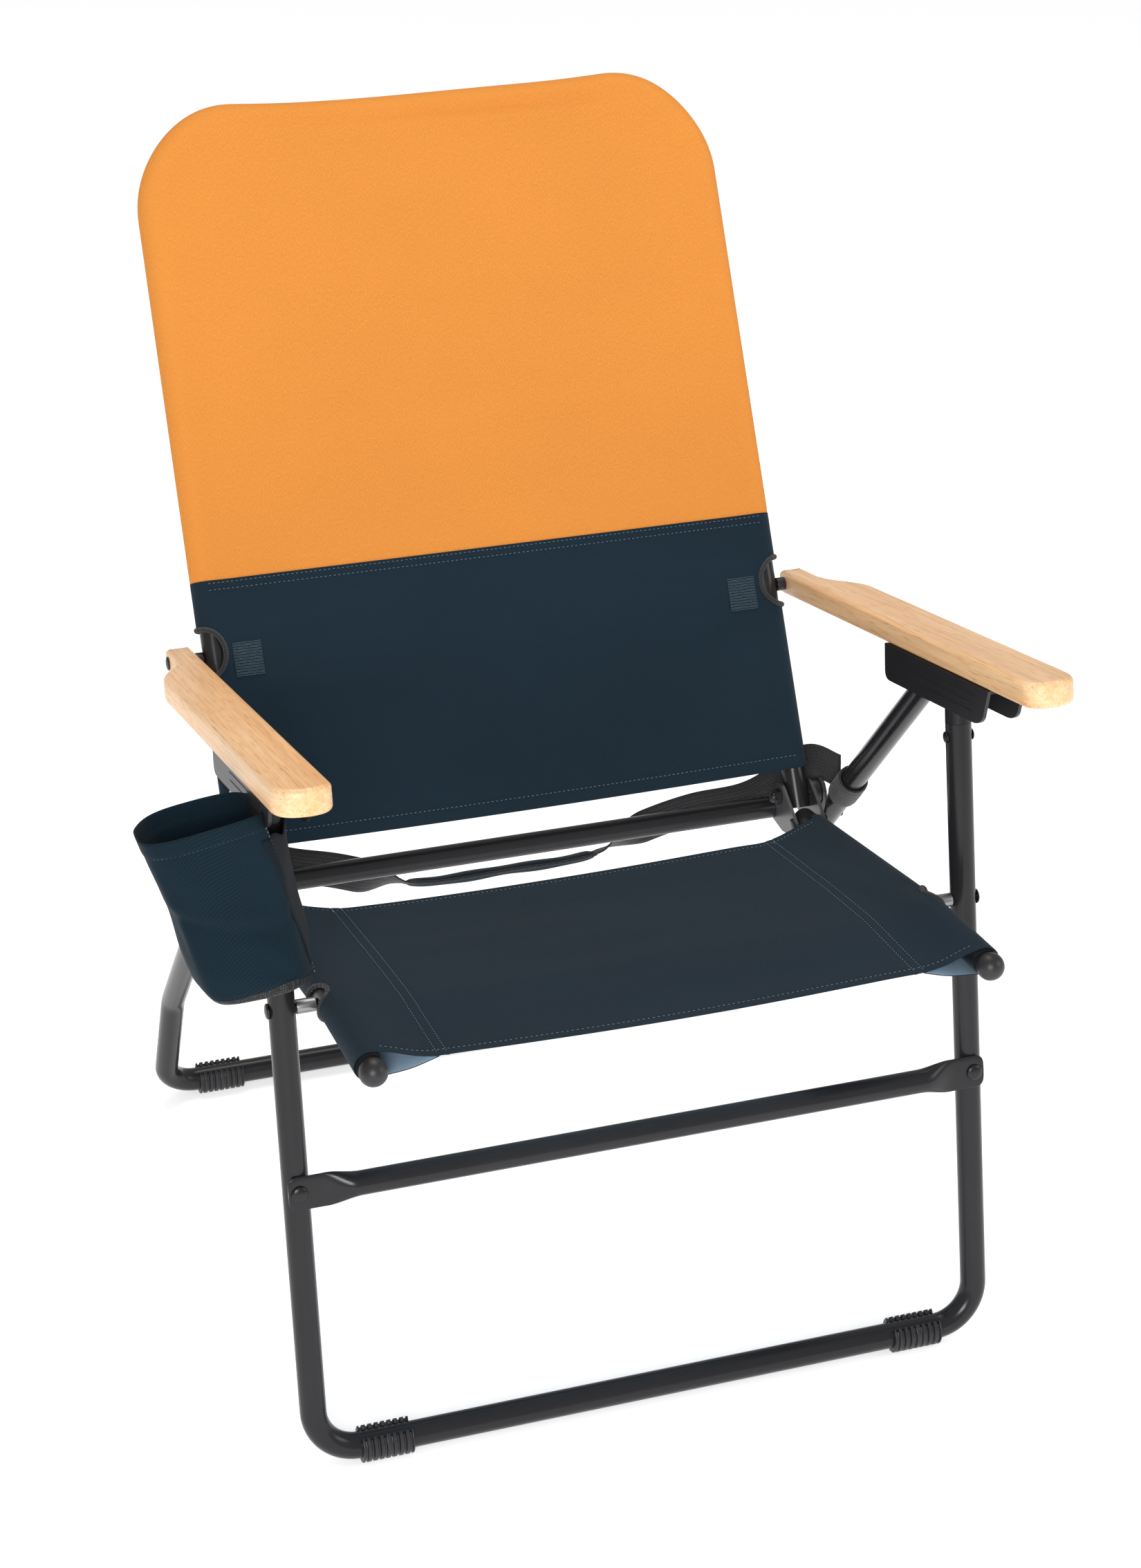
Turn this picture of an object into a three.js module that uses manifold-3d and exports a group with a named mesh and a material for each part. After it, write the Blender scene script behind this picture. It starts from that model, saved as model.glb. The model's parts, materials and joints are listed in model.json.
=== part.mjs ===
// High-back folding beach chair: steel tube frames, fabric slings and wooden armrests.
// Millimetres, +Z up, the chair faces -Y, X is across the seat. The numbers below are measured from the
// ground under the front rail, halfway between the legs; the finished chair is moved at the end.
import * as THREE from "three";
import { mergeVertices } from "three/addons/utils/BufferGeometryUtils.js";
import Module from "manifold-3d";

const wasm = await Module();
wasm.setup();

// ---- driving dimensions ----
const TUBE_R = 11.1; // outside radius of every main tube
const WALL = 1.2;
const GAP = 0.3; // between pieces that touch
const SIDES = 16; // facets around a main tube
const RAIL_Z = 14; // height of the ground rails' axes
const LEG_X = 298; // both leg frames, from the middle plane
const SEAT_X = 259;
const BACK_X = 261;

const FRONT_LEAN = Math.atan(0.19); // the front legs lean back
const FRONT_TOP_Z = 550;
const FRONT_CORNER_R = 38;
const CROSS_RIVET_Z = 246;
const PLUG_SCREW_Z = 538;

const REAR_RAIL_Y = 595;
const REAR_CORNER_R = 33;
const REAR_KINK = [531, 146]; // Y and Z where the rear leg bends towards its foot
const REAR_TOP = [170.5, 551.2];

const HINGE = [353.2, 365.2]; // Y and Z of the bolt that joins seat, back and rear legs
const SEAT_PIVOT = [72.5, 397]; // Y and Z of the rivet that joins seat and front legs
const RAIL_BEND = [50, 401.1];
const RAIL_REAR = [329, 350.4];
const RAIL_FRONT = [-53, 410.1];
const SEAT_CROSS = [371, 345.5];

const RECLINE = Math.atan(0.55); // the back from upright
const BACK_TOP = 674; // along the back from the hinge to the top bar's axis
const BACK_CORNER_R = 84;
const BACK_HEM = 24;
const BACK_SEAM = 263;
const ARM_PIVOT_ALONG = 195.4;

const ARM_TILT = Math.atan(0.2169); // the armrests rise towards the front
const ARM_INNER_X = 281;
const ARM_OUTER_X = 327;
const ARM_NECK_X = 303;
const ARM_HALF = 11; // half the wood's thickness
const ARM_AHEAD = 517; // from the arm's pivot to its front end
const ARM_BEHIND = 13;

const FABRIC = 1.4;
const SLEEVE_IN = TUBE_R + 0.4;
const SLEEVE_OUT = SLEEVE_IN + FABRIC;

// ---- materials ----
const material = (color, roughness, metalness = 0) =>
  new THREE.MeshStandardMaterial({ color, roughness, metalness });
const tubePaint = material(0x4b4c4e, 0.45, 0.6);
const steel = material(0x9a9a9a, 0.35, 0.9);
const blackSteel = material(0x1c1c1e, 0.4, 0.5);
const blackPlastic = material(0x232326, 0.5);
const wood = material(0xf2cfa2, 0.45);
const navyFabric = material(0x2a3a48, 0.9);
const orangeFabric = material(0xf19a4a, 0.9);
const webbing = material(0x1b1b1d, 0.85);

// ---- solids ----
function toSolid(geometry) {
  const bare = geometry.clone();
  bare.deleteAttribute("normal");
  bare.deleteAttribute("uv");
  const merged = mergeVertices(bare, 1e-3);
  return new wasm.Manifold(
    new wasm.Mesh({
      numProp: 3,
      vertProperties: merged.attributes.position.array,
      triVerts: new Uint32Array(merged.index.array),
    }),
  );
}

function toGeometry(solid) {
  const { vertProperties, triVerts } = solid.getMesh();
  const geometry = new THREE.BufferGeometry();
  geometry.setAttribute("position", new THREE.BufferAttribute(vertProperties, 3));
  geometry.setIndex(new THREE.BufferAttribute(triVerts, 1));
  return geometry;
}

const join = (...parts) => toGeometry(parts.map(toSolid).reduce((a, b) => a.add(b)));
const common = (a, b) => toGeometry(toSolid(a).intersect(toSolid(b)));
const cut = (body, ...tools) =>
  toGeometry(tools.map(toSolid).reduce((a, b) => a.subtract(b), toSolid(body)));

const circlePoints = (radius, sides = SIDES) =>
  Array.from({ length: sides }, (_, i) => {
    const angle = (2 * Math.PI * (i + 0.5)) / sides;
    return new THREE.Vector2(radius * Math.cos(angle), radius * Math.sin(angle));
  });

// A path of straight runs and bends that only has stations where it turns.
class BentPath extends THREE.Curve {
  constructor(stations) {
    super();
    this.stations = stations;
  }
  getSpacedPoints() {
    return this.stations.map((s) => s.point.clone());
  }
  getTangentAt(u) {
    return this.stations[Math.round(u * (this.stations.length - 1))].tangent.clone();
  }
}

// Corners are points with an optional bend radius; each bend gets a station every fifteen degrees or so.
function bentPath(corners) {
  const points = corners.map(([x, y, z]) => new THREE.Vector3(x, y, z));
  const towards = (a, b) => points[b].clone().sub(points[a]).normalize();
  const stations = [{ point: points[0], tangent: towards(0, 1) }];
  for (let i = 1; i < points.length - 1; i++) {
    const before = towards(i - 1, i);
    const after = towards(i, i + 1);
    const turn = before.angleTo(after);
    const radius = corners[i][3];
    const centre = after.clone().sub(before).normalize();
    centre.multiplyScalar(radius / Math.cos(turn / 2)).add(points[i]);
    const axis = before.clone().cross(after).normalize();
    const start = points[i].clone().addScaledVector(before, -radius * Math.tan(turn / 2));
    const steps = Math.max(2, Math.round(turn / 0.26));
    for (let k = 0; k <= steps; k++) {
      const angle = (turn * k) / steps;
      const arm = start.clone().sub(centre).applyAxisAngle(axis, angle);
      stations.push({
        point: arm.add(centre),
        tangent: before.clone().applyAxisAngle(axis, angle),
      });
    }
  }
  const last = points.length - 1;
  stations.push({ point: points[last], tangent: towards(last - 1, last) });
  return new BentPath(stations);
}

// A round bar or, with an inner radius, an open tube along a bent path.
function pipe(corners, outer, inner = 0, sides = SIDES) {
  const path = bentPath(corners);
  const shape = new THREE.Shape(circlePoints(outer, sides));
  if (inner) shape.holes.push(new THREE.Path(circlePoints(inner / Math.cos(Math.PI / 10), 10).reverse()));
  return new THREE.ExtrudeGeometry(shape, {
    steps: path.stations.length - 1,
    extrudePath: path,
  });
}

// A bar across the chair, from x1 to x2, at a given Y and Z.
function barX(radius, x1, x2, [y, z], sides = 10) {
  const bar = new THREE.CylinderGeometry(radius, radius, Math.abs(x2 - x1), sides);
  return bar.rotateZ(-Math.PI / 2).translate((x1 + x2) / 2, y, z);
}

function boxBetween([x1, y1, z1], [x2, y2, z2]) {
  const box = new THREE.BoxGeometry(Math.abs(x2 - x1), Math.abs(y2 - y1), Math.abs(z2 - z1));
  return box.translate((x1 + x2) / 2, (y1 + y2) / 2, (z1 + z2) / 2);
}

// A turned piece along X: profile pairs are distance along the axis and radius, from start to end.
function turnedX(profile, side, [y, z], sides = 10) {
  const points = profile.map(([along, radius]) => new THREE.Vector2(radius, along));
  const body = new THREE.LatheGeometry(points, sides).rotateZ(-Math.PI / 2);
  if (side < 0) body.rotateY(Math.PI);
  return body.translate(0, y, z);
}

// A flat plate in the YZ plane between two X values.
function plateX(shape, x1, x2, curveSegments = 6) {
  const plate = new THREE.ExtrudeGeometry(shape, {
    depth: Math.abs(x2 - x1),
    bevelEnabled: false,
    curveSegments,
  });
  // The shape's x becomes Y, its y becomes Z, and its depth runs along X.
  const turn = new THREE.Matrix4().makeBasis(
    new THREE.Vector3(0, 1, 0),
    new THREE.Vector3(0, 0, 1),
    new THREE.Vector3(1, 0, 0),
  );
  return plate.applyMatrix4(turn).translate(Math.min(x1, x2), 0, 0);
}

// The outline around several circles, each given as [x, y, radius], in counter-clockwise order.
function hullShape(circles, steps = 5) {
  const shape = new THREE.Shape();
  const count = circles.length;
  circles.forEach(([x, y, radius], i) => {
    const previous = circles[(i + count - 1) % count];
    const next = circles[(i + 1) % count];
    const from = outwardAngle(previous, circles[i]);
    let to = outwardAngle(circles[i], next);
    if (to < from) to += 2 * Math.PI;
    for (let k = 0; k <= steps; k++) {
      const angle = from + ((to - from) * k) / steps;
      const px = x + radius * Math.cos(angle);
      const py = y + radius * Math.sin(angle);
      if (i === 0 && k === 0) shape.moveTo(px, py);
      else shape.lineTo(px, py);
    }
  });
  return shape;
}

// The outward normal's angle on the tangent line from circle a to circle b.
function outwardAngle(a, b) {
  const heading = Math.atan2(b[1] - a[1], b[0] - a[0]);
  const distance = Math.hypot(b[0] - a[0], b[1] - a[1]);
  return heading - Math.PI / 2 - Math.asin((b[2] - a[2]) / distance);
}

const chair = new THREE.Group();
function add(name, geometry, look, parent = chair) {
  const mesh = new THREE.Mesh(geometry, look);
  mesh.name = name;
  parent.add(mesh);
  return mesh;
}
const SIDES_OF_CHAIR = [
  ["left", -1],
  ["right", 1],
];

// A through rivet or bolt's solid profile along X, with a low round head at each end.
const rivetProfile = (start, end, shaft, head, tall) => [
  [start - tall, 0],
  [start - tall * 0.6, head * 0.8],
  [start, head],
  [start, shaft],
  [end, shaft],
  [end, head],
  [end + tall * 0.6, head * 0.8],
  [end + tall, 0],
];

// ---- front leg frame ----
const frontY = (z) => (z - RAIL_Z) * Math.tan(FRONT_LEAN);
const rivetR = 3;
const holeR = rivetR + GAP;

function frontLegFrame() {
  const top = frontY(FRONT_TOP_Z);
  const path = [
    [-LEG_X, top, FRONT_TOP_Z],
    [-LEG_X, 0, RAIL_Z, FRONT_CORNER_R],
    [LEG_X, 0, RAIL_Z, FRONT_CORNER_R],
    [LEG_X, top, FRONT_TOP_Z],
  ];
  const holes = SIDES_OF_CHAIR.flatMap(([, s]) => [
    barX(holeR, s * (LEG_X - 20), s * (LEG_X + 20), SEAT_PIVOT),
    barX(2.3, s * (LEG_X - 20), s * (LEG_X + 20), [frontY(PLUG_SCREW_Z), PLUG_SCREW_Z]),
    crossRivetHole(s),
  ]);
  return cut(pipe(path, TUBE_R, TUBE_R - WALL), ...holes);
}

// Turns a piece made along +Y, from the leg's axis backwards, to lie square to the leaning front leg.
const onFrontLeg = (geometry, s, z) =>
  geometry.rotateX(-FRONT_LEAN).translate(s * LEG_X, frontY(z), z);

function crossRivetHole(s) {
  const hole = new THREE.CylinderGeometry(holeR, holeR, 60, 12);
  return onFrontLeg(hole, s, CROSS_RIVET_Z);
}

// A round tube whose ends are pressed flat, along X and centred on the origin.
function flattenedTube(halfLength, radius, flatFrom, flatHalf, tabHalf, endCut) {
  const stations = [0, flatFrom, flatFrom + 9, flatFrom + 17, flatFrom + 26, halfLength];
  const count = stations.length - 1;
  const bar = new THREE.CylinderGeometry(radius, radius, 2 * count, SIDES, 2 * count);
  bar.rotateZ(-Math.PI / 2);
  const place = bar.attributes.position;
  for (let i = 0; i < place.count; i++) {
    const step = Math.round(place.getX(i));
    const x = Math.sign(step) * stations[Math.abs(step)];
    place.setX(i, x);
    const flat = THREE.MathUtils.smoothstep(Math.abs(x), flatFrom, flatFrom + 26);
    place.setY(i, place.getY(i) * THREE.MathUtils.lerp(1, flatHalf / radius, flat));
    place.setZ(i, place.getZ(i) * THREE.MathUtils.lerp(1, tabHalf / radius, flat));
  }
  const hollow = barX(radius - WALL - 0.4, 2 - flatFrom, flatFrom - 2, [0, 0]);
  const vent = new THREE.CylinderGeometry(2, 2, radius + 6, 8).translate(0, (radius + 6) / 2, 0);
  return cut(bar, hollow, vent, ...endCut);
}

const CROSS_R = 10.2;
const CROSS_FLAT = 1.3;
const CROSS_OFFSET = TUBE_R + GAP + CROSS_FLAT; // the flat tabs lie on the legs' front faces
function frontCrossTube() {
  const reach = LEG_X + 9;
  const corners = SIDES_OF_CHAIR.flatMap(([, s]) =>
    [1, -1].map((up) =>
      boxBetween([-9, -4, -9], [9, 4, 9]).rotateY(Math.PI / 4).translate(s * (reach + 3), 0, up * 17),
    ),
  );
  const holes = SIDES_OF_CHAIR.map(([, s]) =>
    new THREE.CylinderGeometry(holeR, holeR, 12, 12).translate(s * LEG_X, 0, 0),
  );
  const tube = flattenedTube(reach, CROSS_R, LEG_X - 46, CROSS_FLAT, 14.5, [...corners, ...holes]);
  return tube
    .translate(0, -CROSS_OFFSET, 0)
    .rotateX(-FRONT_LEAN)
    .translate(0, frontY(CROSS_RIVET_Z), CROSS_RIVET_Z);
}

function crossRivet(s) {
  const front = CROSS_OFFSET + CROSS_FLAT + GAP;
  const rivet = turnedX(rivetProfile(-front, TUBE_R + GAP, rivetR, 7, 3), 1, [0, 0]);
  return onFrontLeg(rivet.rotateZ(Math.PI / 2), s, CROSS_RIVET_Z);
}

// A clip-on foot: a sleeve along X that is open at the top and has a flat sole.
const PAD_LENGTH = 44;
const PAD_R = 15.2;
function footPad(x, y) {
  const open = THREE.MathUtils.degToRad(38);
  const sole = Math.asin(RAIL_Z / PAD_R);
  const outline = new THREE.Shape();
  outline.absarc(0, 0, PAD_R, open, -sole, true);
  outline.absarc(0, 0, PAD_R, -Math.PI + sole, -Math.PI - open, true);
  outline.absarc(0, 0, TUBE_R + GAP, -Math.PI - open, open, false);
  return plateX(outline, x - PAD_LENGTH / 2, x + PAD_LENGTH / 2).translate(0, y, RAIL_Z);
}

// The black end piece of a leg: a spigot in the tube, a collar and a round nose, made along +Y.
const SPIGOT = 22;
function legPlug(nose) {
  const r = TUBE_R - 0.3;
  const profile = [
    [0, -SPIGOT],
    [TUBE_R - WALL - GAP, -SPIGOT],
    [TUBE_R - WALL - GAP, GAP],
    [r, GAP],
    [r, nose],
  ];
  for (let k = 1; k <= 5; k++) {
    const angle = (Math.PI / 2) * (k / 5);
    profile.push([k === 5 ? 0 : r * Math.cos(angle), nose + r * Math.sin(angle)]);
  }
  return new THREE.LatheGeometry(profile.map(([a, b]) => new THREE.Vector2(a, b)), SIDES);
}

function frontPlug(s) {
  const plug = legPlug(26).rotateX(Math.PI / 2 - FRONT_LEAN);
  plug.translate(s * LEG_X, frontY(FRONT_TOP_Z), FRONT_TOP_Z);
  const hole = barX(2.3, s * (LEG_X - 20), s * (LEG_X + 20), [frontY(PLUG_SCREW_Z), PLUG_SCREW_Z]);
  return cut(plug, hole);
}

function plugRivet(s) {
  const half = TUBE_R + GAP;
  const rivet = turnedX(rivetProfile(-half, half, 2, 5, 1.7), 1, [frontY(PLUG_SCREW_Z), PLUG_SCREW_Z]);
  return rivet.translate(s * LEG_X, 0, 0);
}

add("front_leg_frame", frontLegFrame(), tubePaint);
add("front_cross_tube", frontCrossTube(), tubePaint);
for (const [name, s] of SIDES_OF_CHAIR) {
  add(`front_cross_rivet_${name}`, crossRivet(s), blackSteel);
  add(`front_foot_pad_${name}`, footPad(s * 239, 0), blackPlastic);
  add(`front_leg_plug_${name}`, frontPlug(s), blackPlastic);
  add(`front_plug_rivet_${name}`, plugRivet(s), steel);
}

// ---- rear leg frame ----
const legRun = new THREE.Vector2(REAR_KINK[0] - REAR_TOP[0], REAR_KINK[1] - REAR_TOP[1]).normalize();
const legNormal = new THREE.Vector2(-legRun.y, legRun.x); // up and back from the leg
const hingePoint = new THREE.Vector2(...HINGE);
const hingeOffset = hingePoint.clone().sub(new THREE.Vector2(...REAR_TOP)).dot(legNormal);
const hingeFoot = hingePoint.clone().addScaledVector(legNormal, -hingeOffset); // on the leg's axis
const bracketRivetAt = hingeFoot.clone().addScaledVector(legRun, 26).toArray();
const BRACKET_FACE = LEG_X - TUBE_R - GAP; // the bracket lies on the leg's inner side
const BRACKET_THICK = 3.6;
const BOLT_R = 3.8;

function rearLegFrame() {
  const path = [
    [-LEG_X, ...REAR_TOP],
    [-LEG_X, ...REAR_KINK, 60],
    [-LEG_X, REAR_RAIL_Y, RAIL_Z, REAR_CORNER_R],
    [LEG_X, REAR_RAIL_Y, RAIL_Z, REAR_CORNER_R],
    [LEG_X, ...REAR_KINK, 60],
    [LEG_X, ...REAR_TOP],
  ];
  const holes = SIDES_OF_CHAIR.map(([, s]) =>
    barX(holeR, s * (LEG_X - 20), s * (LEG_X + 20), bracketRivetAt),
  );
  return cut(pipe(path, TUBE_R, TUBE_R - WALL), ...holes);
}

function rearPlug(s) {
  const plug = legPlug(8).rotateX(Math.atan2(-legRun.y, -legRun.x));
  return plug.translate(s * LEG_X, ...REAR_TOP);
}

function rearBracket(s) {
  const outline = hullShape([
    [...bracketRivetAt, 10.5],
    [...HINGE, 12.5],
  ]);
  const plate = plateX(outline, s * (BRACKET_FACE - BRACKET_THICK), s * BRACKET_FACE);
  return cut(
    plate,
    barX(BOLT_R + GAP, s * 270, s * 295, HINGE),
    barX(holeR, s * 270, s * 295, bracketRivetAt),
  );
}

function bracketRivet(s) {
  const start = BRACKET_FACE - BRACKET_THICK - GAP;
  return turnedX(rivetProfile(start, LEG_X + TUBE_R + GAP, rivetR, 6, 2), s, bracketRivetAt);
}

add("rear_leg_frame", rearLegFrame(), tubePaint);
for (const [name, s] of SIDES_OF_CHAIR) {
  add(`rear_foot_pad_${name}`, footPad(s * 243, REAR_RAIL_Y), blackPlastic);
  add(`rear_leg_plug_${name}`, rearPlug(s), blackPlastic);
  add(`rear_leg_bracket_${name}`, rearBracket(s), tubePaint);
  add(`bracket_rivet_${name}`, bracketRivet(s), blackSteel);
}

// ---- seat ----
const railSlope = (RAIL_REAR[1] - RAIL_BEND[1]) / (RAIL_REAR[0] - RAIL_BEND[0]);
const frontSlope = (RAIL_BEND[1] - RAIL_FRONT[1]) / (RAIL_BEND[0] - RAIL_FRONT[0]);
const railZ = (y) => RAIL_BEND[1] + (y - RAIL_BEND[0]) * (y > RAIL_BEND[0] ? railSlope : frontSlope);
const RAIL_BEND_R = 250;
const YOKE_PLATE = 3;
const YOKE_HALF = TUBE_R + 1.4; // clear space on each side of the yoke's middle
const YOKE_X = 260;
const yokeRivetAt = [319, railZ(319)];

const railPath = (s, rear, front) => [
  [s * SEAT_X, rear, railZ(rear)],
  [s * SEAT_X, ...RAIL_BEND, RAIL_BEND_R],
  [s * SEAT_X, front, railZ(front)],
];

function seatRail(s) {
  const reach = [s * (SEAT_X - 20), s * (SEAT_X + 20)];
  return cut(
    pipe(railPath(s, RAIL_REAR[0], RAIL_FRONT[0]), TUBE_R, TUBE_R - WALL),
    barX(holeR, ...reach, SEAT_PIVOT),
    barX(holeR, ...reach, yokeRivetAt),
  );
}

function seatCap(s) {
  const profile = [
    [0, -16],
    [TUBE_R - WALL - GAP, -16],
    [TUBE_R - WALL - GAP, GAP],
  ];
  const ball = 11.6;
  for (let k = 0; k <= 8; k++) {
    const angle = -0.85 + ((Math.PI / 2 + 0.85) * k) / 8;
    profile.push([k === 8 ? 0 : ball * Math.cos(angle), GAP + ball * (Math.sin(angle) + Math.sin(0.85))]);
  }
  const cap = new THREE.LatheGeometry(profile.map(([a, b]) => new THREE.Vector2(a, b)), SIDES);
  // The cap is made along +Y and turned to point forwards along the rail.
  cap.rotateX(Math.PI + Math.atan(frontSlope));
  return cap.translate(s * SEAT_X, ...RAIL_FRONT);
}

function yoke(s) {
  const half = YOKE_HALF;
  const circles = [
    [HINGE[0] - 35, railZ(HINGE[0] - 35) - 4, 8.5],
    [HINGE[0] - 8, railZ(HINGE[0] - 8) - 5, 9],
    [SEAT_CROSS[0], SEAT_CROSS[1], 10],
    [...HINGE, 12.5],
  ];
  const outline = hullShape(circles);
  const ears = [-half - YOKE_PLATE, half].map((x) =>
    plateX(outline, s * YOKE_X + x, s * YOKE_X + x + YOKE_PLATE),
  );
  const webTop = -TUBE_R - GAP;
  const web = boxBetween([-half - 0.5, -17, webTop - YOKE_PLATE], [half + 0.5, 17, webTop]);
  web.rotateX(Math.atan(railSlope)).translate(s * YOKE_X, HINGE[0] - 30, railZ(HINGE[0] - 30));
  const reach = [s * (YOKE_X - 25), s * (YOKE_X + 25)];
  return cut(join(...ears, web), barX(BOLT_R + GAP, ...reach, HINGE), barX(holeR, ...reach, yokeRivetAt));
}

const yokeOut = YOKE_HALF + YOKE_PLATE + GAP;
function yokeRivet(s) {
  const profile = rivetProfile(YOKE_X - yokeOut, YOKE_X + yokeOut, rivetR, 6, 2);
  return turnedX(profile, s, yokeRivetAt);
}

function seatCrossTube() {
  const reach = YOKE_X - YOKE_HALF - YOKE_PLATE - GAP;
  const hollow = barX(TUBE_R - WALL - 1.4, 4 - reach, reach - 4, [0, 0]);
  const vent = new THREE.CylinderGeometry(2, 2, 20, 8).translate(0, 10, 0);
  const tube = cut(barX(TUBE_R - 1, -reach, reach, [0, 0], SIDES), hollow, vent);
  return tube.translate(0, ...SEAT_CROSS);
}

function seatSpacer(s) {
  const ring = barX(6, s * (SEAT_X + TUBE_R + GAP), s * (LEG_X - TUBE_R - GAP), SEAT_PIVOT, 16);
  return cut(ring, barX(holeR, s * 260, s * 300, SEAT_PIVOT));
}

function seatRivet(s) {
  const profile = rivetProfile(SEAT_X - TUBE_R - GAP, LEG_X + TUBE_R + GAP, rivetR, 6.5, 2.6);
  return turnedX(profile, s, SEAT_PIVOT);
}

const SLING_REAR = 306; // where the seat's sleeves end on the rails
const SLING_FRONT = -44;
function seatSling() {
  const sleeves = SIDES_OF_CHAIR.map(([, s]) => pipe(railPath(s, SLING_REAR, SLING_FRONT), SLEEVE_OUT));
  const voids = SIDES_OF_CHAIR.map(([, s]) => pipe(railPath(s, 345, -90), SLEEVE_IN));
  const profile = new THREE.Shape();
  const low = 5.4;
  const high = low + 1.8;
  const ys = [340, RAIL_BEND[0] + 20, RAIL_BEND[0], RAIL_BEND[0] - 20, -80];
  ys.forEach((y, i) => (i ? profile.lineTo(y, railZ(y) + low) : profile.moveTo(y, railZ(y) + low)));
  [...ys].reverse().forEach((y) => profile.lineTo(y, railZ(y) + high));
  const outline = new THREE.Shape();
  const corner = [
    [-SEAT_X, SLING_FRONT + 2],
    [-205, -51],
    [205, -51],
    [SEAT_X, SLING_FRONT + 2],
    [SEAT_X, SLING_REAR - 2],
    [190, 271],
    [-190, 271],
    [-SEAT_X, SLING_REAR - 2],
  ];
  corner.forEach(([x, y], i) => (i ? outline.lineTo(x, y) : outline.moveTo(x, y)));
  const prism = new THREE.ExtrudeGeometry(outline, { depth: 200, bevelEnabled: false });
  prism.translate(0, 0, 300);
  const sheet = common(plateX(profile, -SEAT_X, SEAT_X), prism);
  const cutouts = SIDES_OF_CHAIR.flatMap(([, s]) => [
    boxBetween([s * (SEAT_X + 2), SEAT_PIVOT[0] - 14, 375], [s * 285, SEAT_PIVOT[0] + 14, 425]),
    barX(7.2, s * (SEAT_X - 20), s * SEAT_X, SEAT_PIVOT),
  ]);
  return cut(join(sheet, ...sleeves), ...voids, ...cutouts);
}

add("seat_cross_tube", seatCrossTube(), tubePaint);
for (const [name, s] of SIDES_OF_CHAIR) {
  add(`seat_rail_${name}`, seatRail(s), tubePaint);
  add(`seat_end_cap_${name}`, seatCap(s), blackPlastic);
  add(`seat_yoke_${name}`, yoke(s), tubePaint);
  add(`yoke_rivet_${name}`, yokeRivet(s), blackSteel);
  add(`seat_pivot_spacer_${name}`, seatSpacer(s), steel);
  add(`seat_pivot_rivet_${name}`, seatRivet(s), blackSteel);
}
add("seat_sling", seatSling(), navyFabric);

// ---- rear hinge ----
const DISC_END = BRACKET_FACE - BRACKET_THICK - GAP;
function hingeBolt(s) {
  const nutSide = YOKE_X - YOKE_HALF - YOKE_PLATE - 6;
  const headAt = BRACKET_FACE + GAP;
  const profile = [
    [nutSide, 0],
    [nutSide, BOLT_R],
    [headAt, BOLT_R],
    [headAt, 5.6],
    [headAt + 1.4, 4.6],
    [headAt + 1.4, 0],
  ];
  return turnedX(profile, s, HINGE, 14);
}

function crownNut(s) {
  const face = YOKE_X - YOKE_HALF - YOKE_PLATE - GAP;
  const hex = turnedX([[face - 5.5, 0], [face - 5.5, 7.4], [face, 7.4], [face, 0]], s, HINGE, 6);
  const dome = turnedX(
    [[face - 11, 0], [face - 10.4, 2.6], [face - 8.6, 4.8], [face - 5, 6], [face - 5, 0]],
    s,
    HINGE,
    14,
  );
  return cut(join(hex, dome), barX(BOLT_R + GAP, s * (face - 6.6), s * (face + 5), HINGE, 14));
}

function hingeDisc(s) {
  const disc = barX(11.6, s * (YOKE_X + yokeOut), s * DISC_END, HINGE, 24);
  return cut(disc, barX(BOLT_R + GAP, s * 265, s * 295, HINGE, 14));
}

for (const [name, s] of SIDES_OF_CHAIR) {
  add(`hinge_bolt_${name}`, hingeBolt(s), blackSteel);
  add(`hinge_nut_${name}`, crownNut(s), blackSteel);
  add(`hinge_disc_${name}`, hingeDisc(s), blackPlastic);
}

// ---- back, in a frame at the hinge whose +Z runs up the back ----
const back = new THREE.Group();
back.position.set(0, ...HINGE);
back.rotation.x = -RECLINE;
chair.add(back);

const backPath = (foot) => [
  [-BACK_X, 0, foot],
  [-BACK_X, 0, BACK_TOP, BACK_CORNER_R],
  [BACK_X, 0, BACK_TOP, BACK_CORNER_R],
  [BACK_X, 0, foot],
];

const ARM_PIVOT = [0, ARM_PIVOT_ALONG]; // in the back's frame
function backTube() {
  const holes = SIDES_OF_CHAIR.flatMap(([, s]) => [
    barX(BOLT_R + GAP, s * (BACK_X - 20), s * (BACK_X + 20), [0, 0]),
    barX(holeR, s * (BACK_X - 20), s * (BACK_X + 20), ARM_PIVOT),
  ]);
  return cut(pipe(backPath(-13), TUBE_R, TUBE_R - WALL), ...holes);
}

// One of the back's two panels, sewn together across the back, with sleeves round the tube.
function backPanel(low, high) {
  const r = BACK_CORNER_R;
  const outline = new THREE.Shape();
  outline.moveTo(-BACK_X, BACK_HEM);
  outline.lineTo(BACK_X, BACK_HEM);
  outline.lineTo(BACK_X, BACK_TOP - r);
  outline.absarc(BACK_X - r, BACK_TOP - r, r, 0, Math.PI / 2);
  outline.absarc(r - BACK_X, BACK_TOP - r, r, Math.PI / 2, Math.PI);
  const sheet = new THREE.ExtrudeGeometry(outline, { depth: 1.8, bevelEnabled: false, curveSegments: 8 });
  sheet.rotateX(Math.PI / 2).translate(0, -3, 0);
  const cutouts = SIDES_OF_CHAIR.flatMap(([, s]) => [
    boxBetween([s * 254, -20, 176], [s * 290, 20, 221]),
    barX(6.8, s * (BACK_X - 20), s * BACK_X, ARM_PIVOT),
  ]);
  const whole = cut(
    join(sheet, pipe(backPath(BACK_HEM), SLEEVE_OUT)),
    pipe(backPath(0), SLEEVE_IN),
    ...cutouts,
  );
  return common(whole, boxBetween([-300, -30, low], [300, 30, high]));
}

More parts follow.
